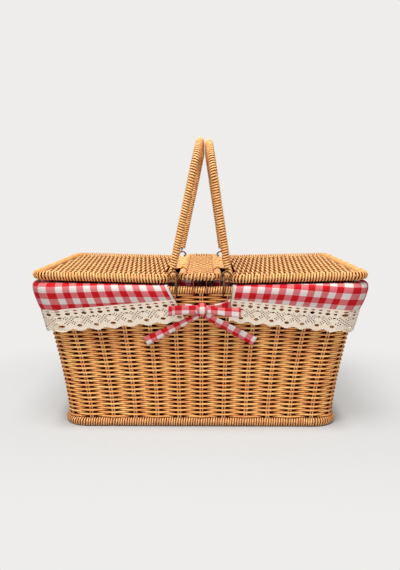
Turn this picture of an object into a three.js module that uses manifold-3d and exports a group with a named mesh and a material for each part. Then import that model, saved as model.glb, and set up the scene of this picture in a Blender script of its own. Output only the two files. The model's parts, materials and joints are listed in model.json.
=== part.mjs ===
// Lidded picnic basket: a flared cane body with a cloth lining tied over its rim, two lids hinged on a
// middle strip, and two hoop handles that stand together over the middle or fold out onto the lids.
// Millimetres, +Z up. X runs along the basket, the front looks to -Y, and the origin is on the ground
// under the middle of the base.

import * as THREE from 'three';
import { mergeVertices } from 'three/addons/utils/BufferGeometryUtils.js';
import Module from 'manifold-3d';

const wasm = await Module();
wasm.setup();

// Body
const BASE_LENGTH = 336;
const BASE_DEPTH = 214;
const BASE_CORNER = 31;
const RIM_HEIGHT = 171;          // middle of the rim rod above the ground
const RIM_CORNER = 26;
const WALL = 7;                  // thickness of the woven wall
const WALL_CURVE = 1.45;         // 1 is a straight flare, more keeps the foot of the wall steep
const WALL_STAKES = 40;          // upright stakes that the weavers pass in front of and behind by turns
const WALL_BANDS = 10;           // bands of weavers, each swinging the other way from the one below
const WALL_SWING = 1.6;          // a band's middle to either side of the wall's middle line

// Wrapped rods, their cores and the woven panels between them
const BASE_ROD = 11;
const RIM_ROD = 9;
const STRIP_ROD = 9.4;
const LID_ROD = 11;
const ROD_CORE = 4;
const PANEL = 4.6;
const PANEL_SWING = 1;           // a lid's strands rise over a stake and dip under the next by this much

// Middle strip and lids
const LID_SPAN = 390;            // left end of one lid to right end of the other
const LID_DEPTH = 270;
const LID_CORNER = 22;
const LID_OVERHANG = 3.5;        // lid edge past the outside of the rim
const LID_TILT = 1.5;            // degrees that a shut lid rises outwards
const LID_CLEARANCE = 1.4;       // hinge end of a lid above the cloth on the rim
const LID_STAKES = 8;            // spaces between the stakes of a lid, from front to back
const LID_BANDS = 9;             // bands of strands across it
const STRIP_WIDTH = 50;
const STRIP_CORNER = 13;
const STRIP_LIFT = 6.4;          // open height between rim and strip
const HINGE_SLIT = 3.5;          // strip edge to lid edge
const HINGE_BAND_LENGTH = 116;
const HINGE_BAND = 1.4;          // thickness of the cane wound round strip and lid
const NOTCH_ROOM = 1.3;          // room between a panel and the bands and ties that pass its edge
const TIE_WIRE = 1.2;
const TIE_SPACING = 15;

// Handles
const HANDLE_ROD = 9.5;
const HANDLE_REACH = 154;        // along a leg, from its eye to the middle of the hoop's top
const HANDLE_UNEVEN = 2.2;       // the left hoop reaches further by this much, and the right one less
const HANDLES_MEET = 5.1;        // the hoops lean on each other this far to the right of the middle
const HANDLE_SET = 2.5;          // a leg stands this far outside the middle of its eyes
const HANDLE_CORNER = 45;
const HANDLE_SIDE_GAP = 0.8;     // handle leg to lid edge
const HANDLE_WIRE = 2.2;
const EYE_WIRE = 2.4;
const EYE_RADIUS = 5.6;
const EYE_LIFT = 17;             // middle of the rim rod up to the middle of the eyes
const EYE_NECK = 3;              // bare wire between an eye and the wrapping
const EYE_PLAY = 0.35;
const RING_WIRE = 2;
const RING_TOP_RADIUS = 5.2;

// Cloth lining, lace and bows
const CLOTH = 1.2;
const LINING_FLOOR_ROUND = 6;
const EDGE_START_LEFT = 34.5;    // at the rim, middle of the front to the skirt's edge left of the bow
const EDGE_START_RIGHT = 37;     // and to the edge right of the bow; the back has the same, facing its bow
const EDGE_LEAN_LEFT = 0.5;      // an edge runs in towards the bow by this share of its drop
const EDGE_LEAN_RIGHT = 0.1;
const HEM_DROP_INNER = 10.5;     // middle of the rim rod down to the hem beside the bow
const HEM_DROP_OUTER = 24.5;     // and at the ends of the basket
const HEM_STAND_OFF = 1.7;       // inside of the hem and the lace to the face of the wall, beside the bow
const HEM_FLARE = 1.8;           // and it stands off this much more away from the bow
const SKIRT_BULGE = 4;           // the cloth puffs out this far past the rim at the ends of the basket
const SKIRT_BULGE_INNER = 1;     // and beside the bow, where the straps draw it in
const SKIRT_PUFF = 3;            // and it stands this much higher over the rim at the ends
const SKIRT_SLACK = 1;           // the cloth rounds out between the rim and the hem
const FOLD_DEPTH = 0.9;          // soft waves along the hem
const FOLD_PITCH = 62;
const LACE_DROP = 27.5;
const LINING_CUT = 10;           // the lining ends this far below the rim rod behind the handle rings
const RIBBON = 11;
const KNOT_WIDTH = 9;
const KNOT_TALL = 15;
const KNOT_DEPTH = 10.6;
const KNOT_DROP = 22;            // middle of the rim rod down to the middle of the knot
const BOW_SHIFT = 2.5;           // the bow is tied a little to the right of the middle
const BOW_LOOP_LEFT = 30;
const BOW_LOOP_RIGHT = 36;
const BOW_LOOP_ROUND = 3.6;
const BOW_STAND_OFF = 2;         // end of a loop in front of the lace
const TAIL_REACH = 63;
const TAIL_DROP = 40;            // knot middle to the middle of a tail's end

// Fits and fineness
const GAP = 0.3;
const CORNER_STEPS = 2;          // of plan corners; every arc doubles its count
const LOOP_STEPS = 3;            // of wire loops and cane bands
const HANDLE_CORNER_STEPS = 6;
const HANDLE_SIDES = 8;
const EYE_SIDES = 6;
const EYE_STEPS = 16;
const SKIRT_FRONT_STEPS = 8;     // along the front, and along the back, from the opening to the corner
const SKIRT_END_STEPS = 12;
const RIBBON_STEPS = 4;          // of the turn at the end of a bow's loop
const OCTAGON = 1 / Math.cos(Math.PI / 8);   // corner radius of an octagon over its flat radius

// Places that follow from the sizes above
const toRadians = THREE.MathUtils.degToRad;
const baseMiddle = { x: (BASE_LENGTH - BASE_ROD) / 2, y: (BASE_DEPTH - BASE_ROD) / 2 };
baseMiddle.corner = BASE_CORNER - BASE_ROD / 2;
const rimMiddle = { x: (LID_SPAN - RIM_ROD) / 2 - LID_OVERHANG, y: (LID_DEPTH - RIM_ROD) / 2 - LID_OVERHANG };
rimMiddle.corner = RIM_CORNER - RIM_ROD / 2;
const foldInside = RIM_ROD / 2 + GAP;       // cloth over the rim, from the middle of the rim rod
const foldOutside = foldInside + CLOTH;
const hangOut = WALL / 2 + HEM_STAND_OFF;   // hanging cloth, from the middle of the wall
const edgeLeft = { start: EDGE_START_LEFT, lean: EDGE_LEAN_LEFT };
const edgeRight = { start: EDGE_START_RIGHT, lean: EDGE_LEAN_RIGHT };
const stripHeight = RIM_HEIGHT + RIM_ROD / 2 + STRIP_LIFT + STRIP_ROD / 2;
const stripRodX = (STRIP_WIDTH - STRIP_ROD) / 2;
const stripRodY = (LID_DEPTH - STRIP_ROD) / 2;
const lidInnerEdge = STRIP_WIDTH / 2 + HINGE_SLIT;
const hingeX = lidInnerEdge + LID_ROD / 2;
const hingeHeight = RIM_HEIGHT + foldOutside + LID_CLEARANCE + LID_ROD / 2;
const ringX = (STRIP_WIDTH + HINGE_SLIT) / 2;
const eyeX = ringX + EYE_RADIUS - (EYE_WIRE + RING_WIRE) / 2 - EYE_PLAY;
const handleY = LID_DEPTH / 2 + HANDLE_SIDE_GAP + HANDLE_ROD / 2;
const eyeHeight = RIM_HEIGHT + EYE_LIFT;    // the handles turn on pivots at the same height
const knotHeight = RIM_HEIGHT - KNOT_DROP;
const hemInner = RIM_HEIGHT - HEM_DROP_INNER;
const hemOuter = RIM_HEIGHT - HEM_DROP_OUTER;

// Materials
const cane = new THREE.MeshStandardMaterial({ color: 0xd9a55e, roughness: 0.5 });
const wrapCane = new THREE.MeshStandardMaterial({ color: 0xe2b26c, roughness: 0.45 });
const coreRod = new THREE.MeshStandardMaterial({ color: 0x9a7446, roughness: 0.7 });
const gingham = new THREE.MeshStandardMaterial({ color: 0xd6868c, roughness: 0.9 });
const laceCotton = new THREE.MeshStandardMaterial({ color: 0xece3d5, roughness: 0.9 });
const bronzeWire = new THREE.MeshStandardMaterial({ color: 0x6f4e33, roughness: 0.4, metalness: 0.8 });
const tieWire = new THREE.MeshStandardMaterial({ color: 0x9d948c, roughness: 0.4, metalness: 0.6 });

const basket = new THREE.Group();

function place(parent, name, geometry, material) {
  const mesh = new THREE.Mesh(geometry, material);
  mesh.name = name;
  parent.add(mesh);
  return mesh;
}

// Joining and cutting

function toSolid(geometry) {
  const bare = geometry.clone();
  bare.deleteAttribute('normal');
  bare.deleteAttribute('uv');
  const merged = mergeVertices(bare);
  const vertProperties = Float32Array.from(merged.attributes.position.array);
  const triVerts = Uint32Array.from(merged.index.array);
  return new wasm.Manifold(new wasm.Mesh({ numProp: 3, vertProperties, triVerts }));
}

function toGeometry(solid) {
  const mesh = solid.getMesh();
  const geometry = new THREE.BufferGeometry();
  geometry.setAttribute('position', new THREE.BufferAttribute(Float32Array.from(mesh.vertProperties), 3));
  geometry.setIndex(new THREE.BufferAttribute(Uint32Array.from(mesh.triVerts), 1));
  return geometry;
}

function cut(geometry, tools) {
  return toGeometry(tools.reduce((solid, tool) => solid.subtract(toSolid(tool)), toSolid(geometry)));
}

function join(geometry, others) {
  return toGeometry(others.reduce((solid, other) => solid.add(toSolid(other)), toSolid(geometry)));
}

// A box between two opposite corners
function boxBetween(one, other) {
  const middle = one.clone().add(other).multiplyScalar(0.5);
  const size = one.clone().sub(other);
  const box = new THREE.BoxGeometry(Math.abs(size.x), Math.abs(size.y), Math.abs(size.z));
  return box.translate(middle.x, middle.y, middle.z);
}

// Outlines

function roundedRect(halfX, halfY, corner) {
  const outline = new THREE.Shape();
  const quarter = Math.PI / 2;
  outline.absarc(halfX - corner, halfY - corner, corner, 0, quarter);
  outline.absarc(corner - halfX, halfY - corner, corner, quarter, 2 * quarter);
  outline.absarc(corner - halfX, corner - halfY, corner, 2 * quarter, 3 * quarter);
  outline.absarc(halfX - corner, corner - halfY, corner, 3 * quarter, 4 * quarter);
  return outline;
}

// The outline of a belt round two circles
function belt(first, firstRadius, second, secondRadius) {
  const along = second.clone().sub(first);
  const turn = along.angle();
  const lean = Math.acos((firstRadius - secondRadius) / along.length());
  const outline = new THREE.Shape();
  outline.absarc(first.x, first.y, firstRadius, turn + lean, turn - lean + 2 * Math.PI);
  outline.absarc(second.x, second.y, secondRadius, turn - lean, turn + lean);
  return outline;
}

// A flat ring of octagonal section between an outline and a smaller one, centred on the plane z = 0
function chamferedRing(outer, inner, thickness, curveSegments) {
  const chamfer = (thickness / 2) * (1 - Math.tan(Math.PI / 8));
  outer.holes.push(inner);
  return new THREE.ExtrudeGeometry(outer, {
    depth: thickness - 2 * chamfer,
    bevelThickness: chamfer,
    bevelSize: chamfer,
    bevelOffset: -chamfer,
    bevelSegments: 1,
    curveSegments,
  }).translate(0, 0, chamfer - thickness / 2);
}

function rodRing(halfX, halfY, corner, rod) {
  const inner = roundedRect(halfX - rod, halfY - rod, corner - rod);
  return chamferedRing(roundedRect(halfX, halfY, corner), inner, rod, CORNER_STEPS);
}

// The cane wrapping of a rod ring, with the channel that its core lies in open towards the inside
function wrappedRing(halfX, halfY, corner, rod) {
  const inset = (rod - ROD_CORE) / 2 - GAP;
  const past = rod + GAP;
  const channel = roundedRect(halfX - inset, halfY - inset, corner - inset);
  channel.holes.push(roundedRect(halfX - past, halfY - past, Math.max(corner - past, GAP)));
  const depth = ROD_CORE + 2 * GAP;
  const options = { depth, bevelEnabled: false, curveSegments: CORNER_STEPS };
  const tool = new THREE.ExtrudeGeometry(channel, options).translate(0, 0, -depth / 2);
  return cut(rodRing(halfX, halfY, corner, rod), [tool]);
}

function coreRing(halfX, halfY, corner, rod) {
  const inset = (rod - ROD_CORE) / 2;
  const outer = roundedRect(halfX - inset, halfY - inset, corner - inset);
  const past = inset + ROD_CORE;
  const inner = roundedRect(halfX - past, halfY - past, Math.max(corner - past, GAP));
  return chamferedRing(outer, inner, ROD_CORE, CORNER_STEPS);
}

// A flat panel that fills a rod ring
function flatPanel(halfX, halfY, corner, rod, thickness) {
  const inset = rod + GAP;
  const outline = roundedRect(halfX - inset, halfY - inset, Math.max(corner - inset, GAP));
  const options = { depth: thickness, bevelEnabled: false, curveSegments: CORNER_STEPS };
  return new THREE.ExtrudeGeometry(outline, options).translate(0, 0, -thickness / 2);
}

// Lofts

// The triangles that close a flat outline, seen from the side that it runs anticlockwise on
function capTriangles(ring) {
  const normal = new THREE.Vector3();
  ring.forEach((point, index) => {
    normal.add(point.clone().cross(ring[(index + 1) % ring.length]));
  });
  normal.normalize();
  const across = ring[1].clone().sub(ring[0]).projectOnPlane(normal).normalize();
  const up = normal.clone().cross(across);
  const flat = ring.map((point) => new THREE.Vector2(point.dot(across), point.dot(up)));
  return THREE.ShapeUtils.triangulateShape(flat, []);
}

// A closed body through a row of matching outlines, capped at both ends or running back into its start
function loft(rings, endless = false) {
  const count = rings[0].length;
  const points = rings.flat();
  const triangles = [];
  const rows = endless ? rings.length : rings.length - 1;
  for (let row = 0; row < rows; row += 1) {
    const here = row * count;
    const there = ((row + 1) % rings.length) * count;
    for (let corner = 0; corner < count; corner += 1) {
      const beside = (corner + 1) % count;
      triangles.push([here + corner, here + beside, there + beside]);
      triangles.push([here + corner, there + beside, there + corner]);
    }
  }
  if (!endless) {
    const end = (rings.length - 1) * count;
    const startCap = capTriangles(rings[0]);
    const endCap = capTriangles(rings[rings.length - 1]);
    startCap.forEach(([a, b, c]) => triangles.push([c, b, a]));
    endCap.forEach(([a, b, c]) => triangles.push([end + a, end + b, end + c]));
  }
  const volumes = triangles.map(([a, b, c]) => points[a].dot(points[b].clone().cross(points[c])));
  const volume = volumes.reduce((sum, part) => sum + part, 0);
  const outward = volume > 0 ? triangles : triangles.map(([a, b, c]) => [a, c, b]);
  const geometry = new THREE.BufferGeometry().setFromPoints(points);
  geometry.setIndex(outward.flat());
  return geometry;
}

// A woven panel that fills a lid's rod ring: bands of strands along Y that rise and dip from stake to stake
function wovenPanel(halfX, halfY, corner, rod) {
  const thickness = PANEL - 2 * PANEL_SWING;
  const sections = [];
  for (let stake = 0; stake <= LID_STAKES; stake += 1) {
    const y = THREE.MathUtils.lerp(-halfY, halfY, stake / LID_STAKES);
    const line = (lift) => Array.from({ length: LID_BANDS + 1 }, (_, band) => {
      const swing = (stake + band) % 2 ? PANEL_SWING : -PANEL_SWING;
      return new THREE.Vector3(THREE.MathUtils.lerp(-halfX, halfX, band / LID_BANDS), y, swing + lift);
    });
    sections.push([...line(thickness / 2), ...line(-thickness / 2).reverse()]);
  }
  const edges = flatPanel(halfX, halfY, corner, rod, 2 * PANEL);
  return toGeometry(toSolid(loft(sections)).intersect(toSolid(edges)));
}

// Half sizes and corner of the wall's middle line at a height, from the base rod up to the rim rod
function wallMiddle(height) {
  const rise = (height - BASE_ROD / 2) / (RIM_HEIGHT - BASE_ROD / 2);
  const flare = Math.pow(THREE.MathUtils.clamp(rise, 0, 1), WALL_CURVE);
  const between = (low, high) => THREE.MathUtils.lerp(low, high, flare);
  return {
    x: between(baseMiddle.x, rimMiddle.x),
    y: between(baseMiddle.y, rimMiddle.y),
    corner: between(baseMiddle.corner, rimMiddle.corner),
  };
}

// A level outline that runs beside the wall's middle line, grown outwards or shrunk by a negative amount
function wallOutline(height, grow) {
  const middle = wallMiddle(height);
  const outline = roundedRect(middle.x + grow, middle.y + grow, middle.corner + grow);
  return outline.getPoints(CORNER_STEPS).map((point) => new THREE.Vector3(point.x, point.y, height));
}

// The same with a swing out at one stake, none halfway and a swing in at the next; one stake stands at the
// middle of the front
function wovenOutline(height, grow, swing) {
  const middle = wallMiddle(height);
  const count = 2 * WALL_STAKES;
  return Array.from({ length: count }, (_, step) => {
    const out = grow + swing * Math.cos((step * Math.PI) / 2);
    const corner = middle.corner + out;
    const outline = roundedRect(middle.x + out, middle.y + out, corner);
    outline.closePath();
    const flatX = middle.x - middle.corner;
    const flatY = middle.y - middle.corner;
    const quarter = (corner * Math.PI) / 2;
    const toFront = (3 * (quarter + flatX) + 2 * flatY) / (4 * (quarter + flatX + flatY));
    const point = outline.getPoint((toFront + step / count) % 1);
    return new THREE.Vector3(point.x, point.y, height);
  });
}

function frontFace(height) {
  return -(wallMiddle(height).y + WALL / 2);
}

// Base

function makeBase() {
  const sizes = [BASE_LENGTH / 2, BASE_DEPTH / 2, BASE_CORNER, BASE_ROD];
  const lift = BASE_ROD / 2;
  place(basket, 'base_border', wrappedRing(...sizes), wrapCane).position.z = lift;
  place(basket, 'base_core', coreRing(...sizes), coreRod).position.z = lift;
  place(basket, 'base_panel', flatPanel(...sizes, PANEL), cane).position.z = lift;
}

// A loop of wire that lies in a plane x = constant, round two rods that run along X.
// The rods' middles are given as (y, z), and the radii are those of the middle of the wire.
function wireLoop(x, low, lowRadius, high, highRadius, wire) {
  const outer = belt(low, lowRadius + wire / 2, high, highRadius + wire / 2);
  const inner = belt(low, lowRadius - wire / 2, high, highRadius - wire / 2);
  const flat = chamferedRing(outer, inner, wire, LOOP_STEPS);
  const standing = new THREE.Matrix4().makeBasis(
    new THREE.Vector3(0, 1, 0),
    new THREE.Vector3(0, 0, 1),
    new THREE.Vector3(1, 0, 0),
  );
  return flat.applyMatrix4(standing).translate(x, 0, 0);
}

function aroundRod(rod, wire) {
  return (rod / 2) * OCTAGON + GAP + wire / 2;
}

// Wall, with notches under the rim where the handle rings and the strip's ties go round the rim rod

function makeWall() {
  const bottom = BASE_ROD + GAP;
  const top = RIM_HEIGHT - RIM_ROD / 2 - GAP;
  const sheet = WALL - 2 * WALL_SWING;
  const rows = [{ height: bottom, swing: 0 }];
  for (let band = 0; band < WALL_BANDS; band += 1) {
    const height = THREE.MathUtils.lerp(bottom, top, (band + 0.5) / WALL_BANDS);
    rows.push({ height, swing: band % 2 ? WALL_SWING : -WALL_SWING });
  }
  rows.push({ height: top, swing: 0 });
  const outside = rows.map(({ height, swing }) => wovenOutline(height, sheet / 2, swing));
  const inside = rows.map(({ height, swing }) => wovenOutline(height, -sheet / 2, swing)).reverse();
  const notches = [];
  for (const [x, wire] of [[ringX, RING_WIRE], [TIE_SPACING / 2, TIE_WIRE]]) {
    const floor = RIM_HEIGHT - aroundRod(RIM_ROD, wire) - wire / 2 - GAP;
    const halfWidth = wire / 2 + GAP;
    for (const middle of [-x, x]) {
      const low = new THREE.Vector3(middle - halfWidth, -LID_DEPTH / 2, floor);
      const high = new THREE.Vector3(middle + halfWidth, LID_DEPTH / 2, RIM_HEIGHT);
      notches.push(boxBetween(low, high));
    }
  }
  place(basket, 'wall_weave', cut(loft([...outside, ...inside], true), notches), cane);
}

function makeRim() {
  const sizes = [rimMiddle.x + RIM_ROD / 2, rimMiddle.y + RIM_ROD / 2, RIM_CORNER, RIM_ROD];
  place(basket, 'rim_border', wrappedRing(...sizes), wrapCane).position.z = RIM_HEIGHT;
  place(basket, 'rim_core', coreRing(...sizes), coreRod).position.z = RIM_HEIGHT;
}

// Middle strip, the wire ties that hold it on the rim, and the cane bands that hinge the lids on it

function bandRadius(rod) {
  return (rod / 2) * OCTAGON + GAP;
}

function makeStrip() {
  const sizes = [STRIP_WIDTH / 2, LID_DEPTH / 2, STRIP_CORNER, STRIP_ROD];
  place(basket, 'strip_border', wrappedRing(...sizes), wrapCane).position.z = stripHeight;
  place(basket, 'strip_core', coreRing(...sizes), coreRod).position.z = stripHeight;
  const bandX = stripRodX - bandRadius(STRIP_ROD) - HINGE_BAND - NOTCH_ROOM;
  const bandY = HINGE_BAND_LENGTH / 2 + NOTCH_ROOM;
  const tieY = stripRodY - aroundRod(STRIP_ROD, TIE_WIRE) - TIE_WIRE / 2 - NOTCH_ROOM;
  const tieHalf = TIE_WIRE / 2 + GAP;
  const notches = [];
  for (const sign of [-1, 1]) {
    const inner = new THREE.Vector3(sign * bandX, -bandY, -PANEL);
    notches.push(boxBetween(inner, new THREE.Vector3(sign * STRIP_WIDTH, bandY, PANEL)));
    for (const tieX of [-TIE_SPACING / 2, TIE_SPACING / 2]) {
      const near = new THREE.Vector3(tieX - tieHalf, sign * tieY, -PANEL);
      notches.push(boxBetween(near, new THREE.Vector3(tieX + tieHalf, sign * LID_DEPTH, PANEL)));
    }
  }
  place(basket, 'strip_panel', cut(flatPanel(...sizes, PANEL), notches), cane).position.z = stripHeight;
}

function makeTies() {
  for (const [end, endSign] of [['front', -1], ['back', 1]]) {
    for (const [side, sideSign] of [['left', -1], ['right', 1]]) {
      const rim = new THREE.Vector2(endSign * rimMiddle.y, RIM_HEIGHT);
      const strip = new THREE.Vector2(endSign * stripRodY, stripHeight);
      const radii = [aroundRod(RIM_ROD, TIE_WIRE), aroundRod(STRIP_ROD, TIE_WIRE)];
      const x = (sideSign * TIE_SPACING) / 2;
      const loop = wireLoop(x, rim, radii[0], strip, radii[1], TIE_WIRE);
      place(basket, `strip_tie_${end}_${side}`, loop, tieWire);
    }
  }
}

function makeHingeBands() {
  for (const [side, sign] of [['left', -1], ['right', 1]]) {
    const strip = new THREE.Vector2(sign * stripRodX, stripHeight);
    const lid = new THREE.Vector2(sign * hingeX, hingeHeight);
    const radii = [bandRadius(STRIP_ROD), bandRadius(LID_ROD)];
    const outline = belt(strip, radii[0] + HINGE_BAND, lid, radii[1] + HINGE_BAND);
    outline.holes.push(belt(strip, radii[0], lid, radii[1]));
    const options = { depth: HINGE_BAND_LENGTH, bevelEnabled: false, curveSegments: 2 * LOOP_STEPS };
    const band = new THREE.ExtrudeGeometry(outline, options);
    band.rotateX(Math.PI / 2).translate(0, HINGE_BAND_LENGTH / 2, 0);
    place(basket, `hinge_band_${side}`, band, wrapCane);
  }
}

// Lids, each made round its hinge line and tilted there

function makeLids() {
  const length = LID_SPAN / 2 - lidInnerEdge;
  const sizes = [length / 2, LID_DEPTH / 2, LID_CORNER, LID_ROD];
  const toMiddle = (length - LID_ROD) / 2;
  const notchX = bandRadius(LID_ROD) + HINGE_BAND + NOTCH_ROOM;
  const notchY = HINGE_BAND_LENGTH / 2 + NOTCH_ROOM;
  for (const [side, sign] of [['left', -1], ['right', 1]]) {
    const lid = new THREE.Group();
    lid.position.set(sign * hingeX, 0, hingeHeight);
    lid.rotation.y = -sign * toRadians(LID_TILT);
    basket.add(lid);
    const shift = sign * toMiddle;
    place(lid, `lid_${side}_border`, wrappedRing(...sizes), wrapCane).position.x = shift;
    place(lid, `lid_${side}_core`, coreRing(...sizes), coreRod).position.x = shift;
    const panel = wovenPanel(...sizes).translate(shift, 0, 0);
    const notchCorner = new THREE.Vector3(notchX, notchY, PANEL);
    const notch = boxBetween(notchCorner.clone().negate(), notchCorner);
    place(lid, `lid_${side}_panel`, cut(panel, [notch]), cane);
  }
}

// Handles: a wire hoop with an eye bent at each foot, wrapped in cane between the eyes

// Rings of points round a hoop's middle line, which stands in the plane x = 0 on feet at two heights alike
function hoopRings(foot, top, radius, sides) {
  const rings = [];
  const addRing = (y, z, outY, outZ) => {
    const ring = [];
    for (let side = 0; side < sides; side += 1) {
      const turn = (2 * Math.PI * side) / sides;
      const out = radius * Math.cos(turn);
      ring.push(new THREE.Vector3(radius * Math.sin(turn), y + out * outY, z + out * outZ));
    }
    rings.push(ring);
  };
  const cornerY = handleY - HANDLE_CORNER;
  const cornerZ = top - HANDLE_CORNER;
  addRing(-handleY, foot, -1, 0);
  for (const sign of [-1, 1]) {
    for (let step = 0; step <= HANDLE_CORNER_STEPS; step += 1) {
      const share = step / HANDLE_CORNER_STEPS;
      const turn = ((sign < 0 ? share : 1 - share) * Math.PI) / 2;
      const outY = sign * Math.cos(turn);
      const outZ = Math.sin(turn);
      addRing(sign * cornerY + HANDLE_CORNER * outY, cornerZ + HANDLE_CORNER * outZ, outY, outZ);
    }
  }
  addRing(handleY, foot, 1, 0);
  return rings;
}

// The lean at which a handle's top is this far in from its eyes, with the legs set outside the eyes
function handleLean(inward, top) {
  return Math.atan2(HANDLE_SET, top) + Math.asin(inward / Math.hypot(HANDLE_SET, top));
}

function makeHandles() {
  const wrapFoot = EYE_RADIUS + EYE_WIRE / 2 + EYE_NECK;
  const wireFoot = Math.sqrt(EYE_RADIUS ** 2 - HANDLE_SET ** 2) - GAP;
  const eye = new THREE.TorusGeometry(EYE_RADIUS, EYE_WIRE / 2, EYE_SIDES, EYE_STEPS).rotateX(Math.PI / 2);
  const eyes = [-handleY, handleY].map((y) => eye.clone().translate(0, y, 0));
  for (const [side, sign] of [['left', -1], ['right', 1]]) {
    const top = HANDLE_REACH - sign * HANDLE_UNEVEN;
    const topX = HANDLES_MEET + (sign * (HANDLE_ROD + GAP)) / 2;
    const handle = new THREE.Group();
    handle.position.set(sign * eyeX, 0, eyeHeight);
    handle.rotation.y = -sign * handleLean(eyeX - sign * topX, top);
    basket.add(handle);
    const set = sign * HANDLE_SET;
    const outside = hoopRings(wrapFoot, top, HANDLE_ROD / 2, HANDLE_SIDES);
    const bore = hoopRings(wrapFoot, top, HANDLE_WIRE / 2 + GAP, HANDLE_SIDES).reverse();
    const wire = loft(hoopRings(wireFoot, top, HANDLE_WIRE / 2, HANDLE_SIDES)).translate(set, 0, 0);
    const wrap = loft([...outside, ...bore], true).translate(set, 0, 0);
    place(handle, `handle_${side}_wrap`, wrap, wrapCane);
    place(handle, `handle_${side}_core`, join(wire, eyes), bronzeWire);
  }
}

// Wire rings that go round the rim and through the handles' eyes; a handle turns on the top of its rings

function makeRings() {
  for (const [end, endSign] of [['front', -1], ['back', 1]]) {
    for (const [side, sideSign] of [['left', -1], ['right', 1]]) {
      const rim = new THREE.Vector2(endSign * rimMiddle.y, RIM_HEIGHT);
      const top = new THREE.Vector2(endSign * handleY, eyeHeight - RING_TOP_RADIUS);
      const rimRadius = aroundRod(RIM_ROD, RING_WIRE);
      const ring = wireLoop(sideSign * ringX, rim, rimRadius, top, RING_TOP_RADIUS, RING_WIRE);
      place(basket, `handle_ring_${end}_${side}`, ring, bronzeWire);
    }
  }
}

// Lining: a cloth bag inside the wall, cut down behind the rings at the middle of front and back

function makeLining() {
  const floor = BASE_ROD / 2 + PANEL / 2 + GAP;
  const clearOfBase = -(BASE_ROD / 2 + GAP);
  const top = RIM_HEIGHT - GAP;
  const baseTop = BASE_ROD + GAP;
  const levels = [0.25, 0.5, 0.75, 1].map((share) => THREE.MathUtils.lerp(baseTop, top, share));
  const outside = [
    wallOutline(floor, clearOfBase - LINING_FLOOR_ROUND),
    wallOutline(floor + LINING_FLOOR_ROUND, clearOfBase),
    ...levels.map((height) => wallOutline(height, -foldInside)),
  ];
  const inside = [
    wallOutline(floor + CLOTH, clearOfBase - LINING_FLOOR_ROUND),
    wallOutline(floor + LINING_FLOOR_ROUND, clearOfBase - CLOTH),
    ...levels.map((height) => wallOutline(height, -foldOutside)),
  ].reverse();
  const low = new THREE.Vector3(-EDGE_START_LEFT, -LID_DEPTH / 2, RIM_HEIGHT - LINING_CUT);
  const high = new THREE.Vector3(EDGE_START_LEFT, LID_DEPTH / 2, RIM_HEIGHT);
  place(basket, 'lining_bag', cut(loft([...outside, ...inside]), [boxBetween(low, high)]), gingham);
}

// How far the inner edge of a skirt is from the middle of the front at a height
function edgeAt(edge, height) {
  return edge.start + edge.lean * (height - RIM_HEIGHT);
}

// Lines down the cloth of the right skirt, from the front opening round the end to the back opening.
// A line has the way out of the basket there, the edge of its opening, and its shares: 0 to 1 from the
// opening to the corner, and -1 to 1 from the front corner to the back one.
function skirtLines() {
  const lines = [];
  const add = (outX, outY, shareX, shareY) => {
    const edge = shareY < 0 ? edgeRight : edgeLeft;
    lines.push({ outX, outY, shareX, shareY, edge });
  };
  const addCorner = (ySign) => {
    const steps = 2 * CORNER_STEPS;
    for (let step = 1; step < steps; step += 1) {
      const share = ySign < 0 ? step / steps : 1 - step / steps;
      const turn = (share * Math.PI) / 2;
      add(Math.sin(turn), ySign * Math.cos(turn), 1, ySign);
    }
  };
  for (let step = 0; step <= SKIRT_FRONT_STEPS; step += 1) {
    add(0, -1, step / SKIRT_FRONT_STEPS, -1);
  }
  addCorner(-1);
  for (let step = 0; step <= SKIRT_END_STEPS; step += 1) {
    add(1, 0, 1, (2 * step) / SKIRT_END_STEPS - 1);
  }
  addCorner(1);
  for (let step = 0; step <= SKIRT_FRONT_STEPS; step += 1) {
    add(0, 1, 1 - step / SKIRT_FRONT_STEPS, 1);
  }
  let along = 0;
  lines.forEach((line, index) => {
    line.rim = standAt(line, 0, RIM_HEIGHT);
    along += index ? line.rim.distanceTo(lines[index - 1].rim) : 0;
    line.along = along;
  });
  const total = along;
  lines.forEach((line) => {
    const fromEnd = Math.min(line.along, total - line.along);
    const fade = Math.min(1, fromEnd / FOLD_PITCH);
    const wave = FOLD_DEPTH * Math.sin((2 * Math.PI * line.along) / FOLD_PITCH);
    line.hemOut = hangOut + fade * (HEM_FLARE + wave);
    line.bulge = THREE.MathUtils.lerp(SKIRT_BULGE_INNER, SKIRT_BULGE, fade);
    const outward = (line.rim.x - line.edge.start) / (rimMiddle.x - line.edge.start);
    line.hem = THREE.MathUtils.lerp(hemInner, hemOuter, outward);
    line.puff = SKIRT_PUFF * outward;
  });
  return lines;
}

// The point of a skirt line at a height, some way out from the middle of the wall there
function standAt(line, out, height) {
  const middle = wallMiddle(height);
  const reach = middle.corner + out;
  const edge = edgeAt(line.edge, height);
  const x = THREE.MathUtils.lerp(edge, middle.x - middle.corner, line.shareX) + reach * line.outX;
  const y = (middle.y - middle.corner) * line.shareY + reach * line.outY;
  return new THREE.Vector3(x, y, height);
}

// Skirts: each half of the lining's top is turned over the rim and hangs outside with a lace hem; the left
// one is the right one turned half round

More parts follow.
